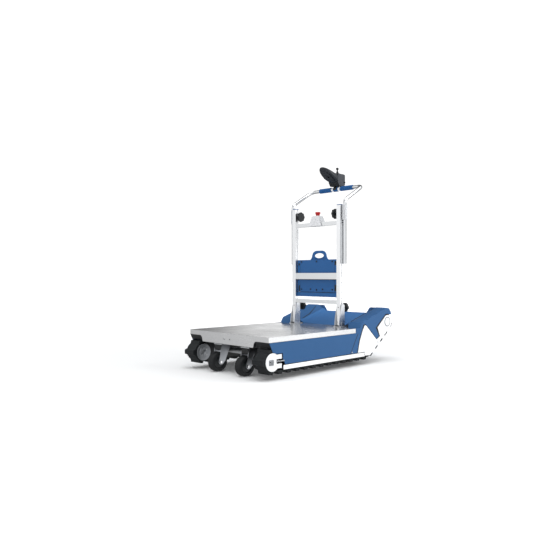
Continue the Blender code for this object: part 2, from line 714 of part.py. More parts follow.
def make_drive_unit(paint):
    """Gearbox round the drive shaft with its motor lying ahead of it."""
    centre = (DRIVE[0], DRIVE[1])
    case = arc(centre, 0.0335, -70, 105, 9) + [(0.4600, 0.2560), (0.4300, 0.2440), (0.4200, 0.2300),
                                               (0.4200, 0.1950), (0.4700, 0.1950)]
    box = prism(case, "X", -0.0450, 0.0450)
    fins = [(0.3450, 0), (0.3450, 0.0200), (0.3500, 0.0265), (0.3560, 0.0265)]
    for index in range(3):
        start = 0.3560 + index * 0.0200
        fins += [(start, 0.0230), (start + 0.0060, 0.0230), (start + 0.0060, 0.0265)]
        fins += [(start + 0.0200, 0.0265)]
    fins += [(0.4250, 0.0265), (0.4250, 0)]
    motor = turned(fins, "Y", (0, 0, 0.2125), 10)
    bore = rod("X", (0, centre[0], centre[1]), 0.0108, -0.06, 0.06)
    finish(cut(weld(box, motor), bore), "drive_unit", paint["steel"])


def make_running_gear(paint):
    """Castors under the front beam and the two fixed rear wheels."""
    beam = block((-0.1650, 0.1650), (-0.5080, -0.4000), (0.1640, 0.1690))
    rib = block((-0.1600, 0.1600), (-0.4600, -0.4500), (0.1680, 0.1926))
    mounts = []
    for side in (1, -1):
        x = side * CASTOR_X
        mounts.append(block((x - 0.0340, x + 0.0340), (-0.4990, -0.4090), (0.1508, 0.1560)))
        mounts.append(block((x - 0.0250, x + 0.0250), (-0.4850, -0.4230), (0.1550, 0.1650)))
    wells = [rod("Z", (side * CASTOR_X, CASTOR_SWIVEL_Y, 0), 0.0066, 0.1400, 0.1632)
             for side in (1, -1)]
    finish(cut(weld(beam, rib, *mounts), *wells), "castor_beam", paint["steel"])
    for side in (1, -1):
        x = side * CASTOR_X
        swivel = make_joint(side_name("castor_swivel_axis", side), (x, CASTOR_SWIVEL_Y, 0.1510))
        fork = make_castor_fork(x, side, paint)
        wheel = make_wheel(x, CASTOR_AXLE, CASTOR_RADIUS, CASTOR_WIDTH, 0.0056, 20)
        wheel = finish(wheel, side_name("castor_wheel", side), paint["rubber"],
                       (x, CASTOR_AXLE[0], CASTOR_AXLE[1]))
        attach(swivel, fork, wheel)
        x = side * REAR_WHEEL_X
        rear = make_wheel(x, (REAR_WHEEL_Y, REAR_WHEEL_RADIUS), REAR_WHEEL_RADIUS, 0.038, 0.0086, 16)
        finish(rear, side_name("rear_wheel", side), paint["rubber"],
               (x, REAR_WHEEL_Y, REAR_WHEEL_RADIUS))


def make_castor_fork(x, side, paint):
    """Swivel fork: black crown, two cheeks that taper to the axle, king pin and axle bolt."""
    inner, outer = 0.0266, 0.0298
    cheek = arc((CASTOR_AXLE[0] + 0.004, CASTOR_AXLE[1] + 0.004), 0.0190, 195, 320, 6)
    cheek += [(-0.4680, 0.0600), (-0.4560, 0.0850), (-0.4400, 0.1200), (-0.4290, 0.1490),
              (-0.4930, 0.1490)]
    crown = softened([(-0.4990, 0.1180), (-0.4340, 0.1180), (-0.4340, 0.1500), (-0.4990, 0.1500)], 0.006, 2)
    fork = prism(crown, "X", x - 0.0270, x + 0.0270)
    cheeks = [prism(cheek, "X", min(x + s * inner, x + s * outer), max(x + s * inner, x + s * outer))
              for s in (1, -1)]
    pin = rod("Z", (x, CASTOR_SWIVEL_Y, 0), 0.0060, 0.1450, 0.1600, 14)
    bolt = rod("X", (0, CASTOR_AXLE[0], CASTOR_AXLE[1]), 0.0050, x - 0.0330, x + 0.0330, 12)
    head = rod("X", (0, CASTOR_AXLE[0], CASTOR_AXLE[1]), 0.0080, x + 0.0290, x + 0.0345, 6)
    tail = rod("X", (0, CASTOR_AXLE[0], CASTOR_AXLE[1]), 0.0080, x - 0.0345, x - 0.0290, 6)
    fork = weld(fork, *cheeks, pin, bolt, head, tail)
    return finish(fork, side_name("castor_fork", side), paint["steel"], (x, CASTOR_SWIVEL_Y, 0.1510))


def make_wheel(x, axle, radius, width, bore, steps):
    """Rubber tyred wheel with a crowned tread, recessed disc and hub."""
    half = width / 2
    profile = [(-half - 0.0015, bore), (-half - 0.0015, 0.014), (-half + 0.005, 0.016),
               (-half + 0.005, radius - 0.018), (-half, radius - 0.009), (-half + 0.004, radius)]
    profile += [(-reach, size) for reach, size in reversed(profile)]
    return turned(profile, "X", (x, axle[0], axle[1]), steps, closed=True, flat=True)


def slotted_section(side, x, y, size):
    """Square profile section with a screw slot in its outer and inner faces."""
    half, mouth, deep = size / 2, 0.004, 0.007
    points = [(-half, -half), (half, -half), (half, -mouth), (half - deep, -mouth),
              (half - deep, mouth), (half, mouth), (half, half), (-half, half),
              (-half, mouth), (-half + deep, mouth), (-half + deep, -mouth), (-half, -mouth)]
    return [(side * (x + a), y + b) for a, b in points]


def make_mast(paint):
    """Two slotted uprights joined by three flat cross bars, hinged at the deck."""
    hinge = make_joint("mast_hinge_axis", (0, MAST_PIVOT[0], MAST_PIVOT[1]))
    uprights = [prism(slotted_section(side, UPRIGHT_X, UPRIGHT_Y, UPRIGHT_SIZE), "Z",
                      UPRIGHT_BOTTOM, UPRIGHT_TOP) for side in (1, -1)]
    reach = UPRIGHT_IN_X + 0.004
    depth = (UPRIGHT_FRONT + 0.0004, UPRIGHT_FRONT + 0.0124)
    bars = [block((-reach, reach), depth, span)
            for span in ((0.3655, 0.3895), (0.5200, 0.5600), (0.8585, 0.8835))]
    frame = weld(uprights[0], uprights[1], *bars)
    holes = []
    for side in (1, -1):
        x = side * UPRIGHT_X
        holes.append(rod("X", (0, MAST_PIVOT[0], MAST_PIVOT[1]), 0.0064, x - 0.03, x + 0.03))
        holes.append(rod("X", (0, STAR_KNOB_Y, STAR_KNOB_Z), 0.0046, x - 0.03, x + 0.03, 12))
    pivot = (0, MAST_PIVOT[0], MAST_PIVOT[1])
    frame = finish(cut(frame, *holes), "mast_frame", paint["aluminium"], pivot)
    attach(hinge, frame)
    for side in (1, -1):
        x = side * UPRIGHT_X
        low, high = x - UPRIGHT_SIZE / 2, x + UPRIGHT_SIZE / 2
        edge = softened([(low, UPRIGHT_FRONT), (high, UPRIGHT_FRONT),
                         (high, UPRIGHT_FRONT + UPRIGHT_SIZE), (low, UPRIGHT_FRONT + UPRIGHT_SIZE)], 0.003, 2)
        cap = prism(edge, "Z", UPRIGHT_TOP + GAP, UPRIGHT_TOP + 0.0045)
        cap = finish(cap, side_name("mast_cap", side), paint["blue"], (x, UPRIGHT_Y, UPRIGHT_TOP))
        attach(hinge, cap, make_slide_clamp(side, paint), make_star_knob(side, paint))
        make_mast_bracket(side, paint)
        make_lock_knob(side, paint)
    attach(hinge, make_battery_tray(paint), make_battery(paint), *make_stop_switch(paint))
    return hinge


def make_slide_clamp(side, paint):
    """Clamp block with its guide strip down the outside of the upright."""
    inner, outer = 0.2040, 0.2332
    body = softened([(inner, 0.2232), (outer, 0.2232), (outer, 0.2488), (inner, 0.2488)], 0.008, 3)
    clamp = prism([(side * x, y) for x, y in body], "Z", 0.8885, 0.9810)
    strip = side_block(side, (inner, inner + 0.0036), (0.2126, 0.2386), (0.6160, 0.8900))
    clamp = weld(clamp, strip)
    bore = rod("Z", (side * TUBE_X, TUBE_Y, 0), TUBE_RADIUS + 0.0005, 0.85, 1.00, 20)
    ends = sorted((side * 0.2000, side * 0.2100))
    screw = rod("X", (0, STAR_KNOB_Y, STAR_KNOB_Z), 0.0046, ends[0], ends[1], 12)
    return finish(cut(clamp, bore, screw), side_name("slide_clamp", side), paint["aluminium"],
                  (side * TUBE_X, TUBE_Y, 0.93))


def star_outline(lobes, high, low):
    """Scalloped rim of a star grip."""
    points = []
    steps = 4
    for index in range(lobes * steps):
        wave = 0.5 + 0.5 * math.cos(math.tau * index / steps)
        radius = low + (high - low) * wave ** 0.6
        angle = math.tau * index / (lobes * steps)
        points.append((radius * math.cos(angle), radius * math.sin(angle)))
    return points


def make_star_knob(side, paint):
    """Star grip on the inner face of the upright, its screw reaching the clamp."""
    rim = [(STAR_KNOB_Y + a, STAR_KNOB_Z + b) for a, b in star_outline(8, 0.0325, 0.0280)]
    grip = side_prism(rim, side, 0.1390, 0.1550)
    ends = sorted((side * 0.1540, side * 0.1722))
    boss = rod("X", (0, STAR_KNOB_Y, STAR_KNOB_Z), 0.0120, ends[0], ends[1])
    ends = sorted((side * 0.1540, side * 0.2076))
    screw = rod("X", (0, STAR_KNOB_Y, STAR_KNOB_Z), 0.0040, ends[0], ends[1], 12)
    return finish(weld(grip, boss, screw), side_name("star_knob", side), paint["black"],
                  (side * 0.1550, STAR_KNOB_Y, STAR_KNOB_Z))


def make_mast_bracket(side, paint):
    """U-bracket on the deck: two leaning cheeks, a rear web, a base and the pivot pin."""
    base_low, base_top = DECK_TOP + GAP, DECK_TOP + 0.0034
    base = side_block(side, (0.1610, 0.2190), (0.1950, 0.2620), (base_low, base_top))
    cheek = [(0.1960, base_top - 0.001), (0.1960, 0.2500), (0.2020, 0.2900), (0.2180, 0.3640),
             (0.2236, 0.3645), (0.2250, 0.3740), (0.2494, 0.3600), (0.2494, base_top - 0.001)]
    inner = side_prism(cheek, side, 0.1690, 0.1722)
    outer = side_prism(cheek, side, 0.2046, 0.2078)
    web = side_block(side, (0.1700, 0.2070), (0.2462, 0.2494), (base_top - 0.001, 0.3590))
    ends = sorted((side * 0.1660, side * 0.2108))
    pin = rod("X", (0, MAST_PIVOT[0], MAST_PIVOT[1]), 0.0060, ends[0], ends[1])
    heads = []
    for low, high in ((0.1650, 0.1695), (0.2073, 0.2118)):
        ends = sorted((side * low, side * high))
        heads.append(rod("X", (0, MAST_PIVOT[0], MAST_PIVOT[1]), 0.0095, ends[0], ends[1], 6))
    bracket = weld(base, inner, outer, web, pin, *heads)
    hole = rod("Y", (side * LOCK_KNOB_X, 0, LOCK_KNOB_Z), 0.0046, 0.240, 0.260, 12)
    finish(cut(bracket, hole), side_name("mast_bracket", side), paint["steel"])


def make_lock_knob(side, paint):
    """Star grip behind the bracket that locks the mast upright."""
    x = side * LOCK_KNOB_X
    rim = [(x + a, LOCK_KNOB_Z + b) for a, b in star_outline(6, 0.0305, 0.0270)]
    grip = prism(rim, "Y", 0.2680, 0.2900)
    boss = rod("Y", (x, 0, LOCK_KNOB_Z), 0.0120, 0.2498, 0.2690)
    screw = rod("Y", (x, 0, LOCK_KNOB_Z), 0.0040, 0.2436, 0.2700, 12)
    finish(weld(grip, boss, screw), side_name("lock_knob", side), paint["black"],
           (x, 0.2680, LOCK_KNOB_Z))


def make_battery_tray(paint):
    """Shallow tray between the uprights that the battery pack drops into."""
    half, front, rear = 0.1600, 0.2240, 0.2900
    low, lip, wall = 0.4070, 0.4340, 0.0025
    tray = block((-half, half), (front, rear), (low, lip))
    face = block((-UPRIGHT_IN_X + 0.0006, UPRIGHT_IN_X - 0.0006), (front - 0.0004, front + 0.0018),
                 (low, lip))
    hollow = block((-half + wall, half - wall), (front + 0.0018, rear - wall),
                   (low + 0.0030, lip + 0.0200))
    return finish(cut(weld(tray, face), hollow), "battery_tray", paint["blue"], (0, MAST_PIVOT[0], low))


def make_battery(paint):
    """Battery pack: body, front plate and a carrying handle with an oval grip hole."""
    body = softened([(-0.1565, 0.2290), (0.1565, 0.2290), (0.1565, 0.2865), (-0.1565, 0.2865)], 0.006, 2)
    pack = prism(body, "Z", 0.4106, 0.6430)
    plate = block((-0.1700, 0.1700), (0.2262, 0.2294), (0.4370, 0.6455))
    rise = [(0.0760, 0.6400), (0.0750, 0.6460), (0.0690, 0.6510), (0.0630, 0.6590)]
    top = arc((0.0230, 0.6680), 0.0360, 5, 90, 6)
    handle = rise + top + [(-x, z) for x, z in reversed(rise + top)]
    arch = prism(handle, "Y", 0.2450, 0.2545)
    hole = [(reach * 1.30, 0.6720 + lift) for reach, lift in arc((0, 0), 0.0172, 0, 360, 20)[:-1]]
    hole = [(reach + math.copysign(0.0220, reach), z) for reach, z in hole if abs(reach) > 1e-4]
    arch = cut(arch, prism(hole, "Y", 0.22, 0.28))
    return finish(weld(pack, plate, arch), "battery_pack", paint["blue"], (0, 0.2577, 0.4106))


def make_stop_switch(paint):
    """Stop switch box saddled over the upper cross bar, with its mushroom button."""
    case = [(-0.0560, 0.8600), (0.0560, 0.8600), (0.0300, 0.9200), (0.0240, 0.9260),
            (-0.0240, 0.9260), (-0.0300, 0.9200)]
    box = prism(case, "Y", UPRIGHT_FRONT - 0.0050, 0.2530)
    saddle = block((-0.07, 0.07), (UPRIGHT_FRONT, UPRIGHT_FRONT + 0.0128), (0.85, 0.8839))
    well = rod("Z", (0, STOP_BUTTON_Y, 0), 0.0125, 0.9080, 0.9300, 20)
    box = cut(box, saddle, well)
    box = finish(box, "stop_box", paint["grey"], (0, STOP_BUTTON_Y, 0.8839))
    button = turned([(0.9140, 0), (0.9140, 0.0114), (0.9320, 0.0114), (0.9340, 0.0120),
                     (0.9450, 0.0172), (0.9500, 0.0168), (0.9525, 0.0130), (0.9525, 0)],
                    "Z", (0, STOP_BUTTON_Y, 0), 16)
    button = finish(button, "stop_button", paint["red"], (0, STOP_BUTTON_Y, 0.9250))
    return box, button


def make_handle(hinge, paint):
    """Push handle: a bent tube that telescopes in the clamps, three grips, console."""
    slide = make_joint("handle_slide_axis", (0, TUBE_Y, TUBE_BOTTOM), hinge)
    y, z = CROSSBAR
    corners = [(TUBE_X, TUBE_Y, TUBE_BOTTOM), (TUBE_X, TUBE_Y, HANDLE_KNEE_Z), (TUBE_X, y, z),
               (-TUBE_X, y, z), (-TUBE_X, TUBE_Y, HANDLE_KNEE_Z), (-TUBE_X, TUBE_Y, TUBE_BOTTOM)]
    path = bent_path(corners, (0.035, 0.038, 0.038, 0.035))
    tube = finish(tube_along(path, TUBE_RADIUS), "handle_tube", paint["aluminium"],
                  (0, TUBE_Y, TUBE_BOTTOM))
    grips = []
    for name, low, high in (("grip_left", -0.1450, -0.0372), ("grip_centre", -0.0175, 0.0175),
                            ("grip_right", 0.0372, 0.1450)):
        bore, size, edge = TUBE_RADIUS + GAP, 0.0155, 0.002
        ring = turned([(low, bore), (low, size - edge), (low + edge, size), (high - edge, size),
                       (high, size - edge), (high, bore)], "X", (0, y, z), 16, closed=True)
        grips.append(finish(ring, name, paint["blue"], ((low + high) / 2, y, z)))
    attach(slide, tube, *grips)
    make_console(slide, paint)


def make_console(slide, paint):
    """Joystick console on a bracket over the centre grip."""
    y, z = CROSSBAR
    seat = 0.0159
    saddle = arc((y, z), seat, -20, 200, 10) + arc((y, z), 0.0188, 200, -20, 10)
    collar = prism(saddle, "X", -0.0120, 0.0120)
    neck = block((-0.0120, 0.0120), (y - 0.0080, y + 0.0200), (z + 0.0165, CONSOLE_BOTTOM - GAP))
    bracket = finish(weld(collar, neck), "console_bracket", paint["black"], (0, y, z))
    side = [(0.3900, CONSOLE_BOTTOM + 0.024), (0.4050, CONSOLE_BOTTOM), (0.4560, CONSOLE_BOTTOM),
            (0.4650, CONSOLE_BOTTOM + 0.012), (0.4650, CONSOLE_TOP - 0.008),
            (0.4580, CONSOLE_TOP), (0.3900, CONSOLE_TOP)]
    box = prism(softened(side, 0.003, 2), "X", -0.0400, 0.0400)
    boot = turned([(-0.0010, 0.0145), (-0.0010, 0.0200), (0.0040, 0.0190), (0.0105, 0.0135),
                   (0.0105, 0.0108), (0.0040, 0.0145)], "Z",
                  (JOYSTICK[0], JOYSTICK[1], CONSOLE_TOP), 14, closed=True)
    well = rod("Z", (JOYSTICK[0], JOYSTICK[1], 0), 0.0140, JOYSTICK[2] - 0.0160, CONSOLE_TOP + 0.002, 14)
    box = finish(weld(cut(box, well), boot), "console_box", paint["black"], (0, 0.39, CONSOLE_BOTTOM))
    shell = finish(make_leaf(), "console_shell", paint["black"], (0, 0.39, CONSOLE_TOP))
    gimbal = make_joint("joystick_axis", JOYSTICK, slide)
    ball = turned([(0.0115 * math.sin(angle), 0.0115 * math.cos(angle))
                   for angle in (math.pi * (step / 8 - 0.5) for step in range(9))], "Z", JOYSTICK, 12)
    ball = finish(ball, "joystick_gimbal", paint["black"], JOYSTICK)
    stick = turned([(0.0122, 0), (0.0122, 0.0036), (0.0150, 0.0085), (0.0180, 0.0080),
                    (0.0230, 0.0042), (0.0310, 0.0038), (0.0330, 0.0072), (0.0385, 0.0088),
                    (0.0440, 0.0076), (0.0465, 0.0042), (0.0470, 0)],
                   "Z", JOYSTICK, 12)
    stick = finish(stick, "joystick_stick", paint["black"], JOYSTICK)
    attach(slide, bracket, box, shell)
    attach(gimbal, ball, stick)


def make_leaf():
    """Leaf-shaped display pod: rounded sections that narrow and rise towards the tip."""
    stations = [(0.3894, 0.0430, 1.1590, 1.2165), (0.3700, 0.0480, 1.1660, 1.2200),
                (0.3450, 0.0490, 1.1780, 1.2260), (0.3200, 0.0460, 1.1940, 1.2330),
                (0.2980, 0.0390, 1.2110, 1.2400), (0.2820, 0.0290, 1.2250, 1.2450),
                (0.2730, 0.0160, 1.2340, 1.2470)]
    sides = 14
    bm = bmesh.new()
    rings = []
    for y, half, low, high in stations:
        ring = []
        for index in range(sides):
            angle = math.tau * (index + 0.5) / sides
            x = half * math.copysign(abs(math.cos(angle)) ** 0.7, math.cos(angle))
            z = (low + high) / 2 + (high - low) / 2 * math.copysign(abs(math.sin(angle)) ** 0.7, math.sin(angle))
            ring.append(bm.verts.new((x, y, z)))
        rings.append(ring)
    for first, second in zip(rings, rings[1:]):
        for index in range(sides):
            after = (index + 1) % sides
            bm.faces.new((first[index], first[after], second[after], second[index]))
    bm.faces.new(rings[0])
    bm.faces.new(rings[-1])
    return object_from(bm)


def centre_on_origin():
    """Hang every loose piece from one empty that carries the shift along the length."""
    loose = [item for item in bpy.data.objects if item.parent is None]
    base = make_joint("trolley_base", (0, 0, 0))
    attach(base, *loose)
    base.location = (0, LENGTH_SHIFT, 0)
    bpy.context.view_layer.update()


def build():
    clear_scene()
    paint = make_materials()
    make_chassis(paint)
    make_deck(paint)
    make_front_guards(paint)
    make_side_panels(paint)
    make_rear_covers(paint)
    make_centre_cover(paint)
    make_tracks(paint)
    make_track_wheels(paint)
    make_drive_unit(paint)
    make_running_gear(paint)
    hinge = make_mast(paint)
    make_handle(hinge, paint)
    centre_on_origin()


build()
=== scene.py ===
import json
import math

import bmesh
import bpy
from mathutils import Matrix, Vector

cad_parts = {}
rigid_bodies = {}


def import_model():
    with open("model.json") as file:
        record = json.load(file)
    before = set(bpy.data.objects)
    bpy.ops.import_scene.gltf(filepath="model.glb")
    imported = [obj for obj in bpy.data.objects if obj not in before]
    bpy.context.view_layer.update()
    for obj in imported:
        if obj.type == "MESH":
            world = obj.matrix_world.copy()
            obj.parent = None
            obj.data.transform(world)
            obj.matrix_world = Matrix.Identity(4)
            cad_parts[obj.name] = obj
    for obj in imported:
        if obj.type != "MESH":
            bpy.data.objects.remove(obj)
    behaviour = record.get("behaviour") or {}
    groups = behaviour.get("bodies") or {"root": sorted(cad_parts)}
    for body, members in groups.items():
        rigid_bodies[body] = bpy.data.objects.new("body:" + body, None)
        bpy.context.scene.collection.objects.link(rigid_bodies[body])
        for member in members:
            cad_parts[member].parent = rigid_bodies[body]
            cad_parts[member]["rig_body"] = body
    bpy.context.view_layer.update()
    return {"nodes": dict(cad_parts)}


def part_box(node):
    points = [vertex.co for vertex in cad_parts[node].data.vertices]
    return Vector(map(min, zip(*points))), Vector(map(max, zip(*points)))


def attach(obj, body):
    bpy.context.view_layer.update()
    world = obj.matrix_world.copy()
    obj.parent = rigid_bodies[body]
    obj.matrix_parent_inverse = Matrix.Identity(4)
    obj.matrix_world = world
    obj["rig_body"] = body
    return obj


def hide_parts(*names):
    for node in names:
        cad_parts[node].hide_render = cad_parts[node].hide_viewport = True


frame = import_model()
print("frame loaded,", len(frame["nodes"]), "CAD nodes")


# Small helpers shared by every piece. Lengths are in metres and angles in degrees.
edgeLook = {"bevelAngle": 32, "smoothAngle": 44, "turnedAngle": 38, "tubeAngle": 40, "normalWeight": 80,
            "mergeGap": 0.00001, "spinGap": 0.00002, "flatAngle": 0.6, "seedRadius": 0.01}
datumShift = 0.004  # the trolley's own datum lies this far ahead of the frame's origin


def deselectAll():
    if bpy.context.object and bpy.context.object.mode != "OBJECT":
        bpy.ops.object.mode_set(mode="OBJECT")
    bpy.ops.object.select_all(action="DESELECT")


def pick(piece):
    deselectAll()
    piece.select_set(True)
    bpy.context.view_layer.objects.active = piece


def startEdit(piece):
    pick(piece)
    bpy.ops.object.mode_set(mode="EDIT")
    bpy.ops.mesh.select_mode(type="VERT")
    return bmesh.from_edit_mesh(piece.data)


def endEdit(piece):
    bmesh.update_edit_mesh(piece.data)
    bpy.ops.object.mode_set(mode="OBJECT")


def applyModifier(piece, kind, **settings):
    pick(piece)
    modifier = piece.modifiers.new(kind.lower(), kind)
    for key, value in settings.items():
        setattr(modifier, key, value)
    bpy.ops.object.modifier_apply(modifier=modifier.name)


def smoothShade(piece, angle):
    pick(piece)
    bpy.ops.object.shade_smooth_by_angle(angle=math.radians(angle))


def softenEdges(piece, width, segments=2):
    # A small round on every sharp edge, so that it catches the light as a real one does.
    applyModifier(piece, "BEVEL", width=width, segments=segments, limit_method="ANGLE",
                  angle_limit=math.radians(edgeLook["bevelAngle"]), use_clamp_overlap=True, harden_normals=False)
    smoothShade(piece, edgeLook["smoothAngle"])
    applyModifier(piece, "WEIGHTED_NORMAL", keep_sharp=True, weight=edgeLook["normalWeight"])


def settle(piece, name, surface, body):
    # Names a finished piece, puts its place in its mesh, paints it and hangs it on its body.
    pick(piece)
    bpy.ops.object.transform_apply(location=True, rotation=True, scale=True)
    piece.name = name
    piece.data.name = name
    piece.data.materials.clear()
    piece.data.materials.append(surface)
    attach(piece, body)
    return piece


def at(x, y, z):
    # A place measured from the trolley's datum, in the frame.
    return Vector((x, y - datumShift, z))


# Materials

def linearColour(hexCode):
    parts = [int(hexCode[start:start + 2], 16) / 255 for start in (0, 2, 4)]
    return tuple(p / 12.92 if p <= 0.04045 else ((p + 0.055) / 1.055) ** 2.4 for p in parts) + (1.0,)


def addNode(tree, kind, values=None, links=None, **settings):
    node = tree.nodes.new(kind)
    for key, value in settings.items():
        setattr(node, key, value)
    for key, value in (values or {}).items():
        node.inputs[key].default_value = value
    for key, source in (links or {}).items():
        tree.links.new(source, node.inputs[key])
    return node


def makeFinish(name, look):
    # A surface with its own colour drift, grain relief and roughness, all sized in millimetres.
    surface = bpy.data.materials.new(name)
    surface.use_nodes = True
    tree = surface.node_tree
    shader = tree.nodes["Principled BSDF"]
    shader.inputs["Metallic"].default_value = look.get("metallic", 0.0)
    if "metallic" not in look:
        shader.inputs["IOR"].default_value = 1.5
        shader.inputs["Specular IOR Level"].default_value = look.get("specular", 0.5)
    place = addNode(tree, "ShaderNodeTexCoord")
    grainScale = [1000 / size for size in look["grainMm"]]
    fine = addNode(tree, "ShaderNodeMapping", {"Scale": grainScale}, {"Vector": place.outputs["Object"]})
    grain = addNode(tree, "ShaderNodeTexNoise", {"Scale": 1.0, "Detail": 3.0, "Roughness": 0.6},
                    {"Vector": fine.outputs["Vector"]})
    cloud = addNode(tree, "ShaderNodeTexNoise", {"Scale": 1000 / look["cloudMm"], "Detail": 2.0},
                    {"Vector": place.outputs["Object"]})
    both = addNode(tree, "ShaderNodeMix", {"Factor": look.get("cloudShare", 0.5)}, data_type="FLOAT",
                   links={2: grain.outputs["Fac"], 3: cloud.outputs["Fac"]})
    paint = addNode(tree, "ShaderNodeMix", data_type="RGBA", links={"Factor": both.outputs[0]})
    paint.inputs[6].default_value = linearColour(look["dark"])
    paint.inputs[7].default_value = linearColour(look["light"])
    tree.links.new(paint.outputs[2], shader.inputs["Base Color"])
    smooth, rough = look["roughness"]
    shine = addNode(tree, "ShaderNodeMapRange", {"From Min": 0.3, "From Max": 0.7, "To Min": smooth, "To Max": rough},
                    {"Value": both.outputs[0]})
    tree.links.new(shine.outputs["Result"], shader.inputs["Roughness"])
    relief = addNode(tree, "ShaderNodeBump",
                     {"Strength": look.get("bump", 0.5), "Distance": look["reliefMm"] / 1000},
                     {"Height": grain.outputs["Fac"]})
    tree.links.new(relief.outputs["Normal"], shader.inputs["Normal"])
    return surface


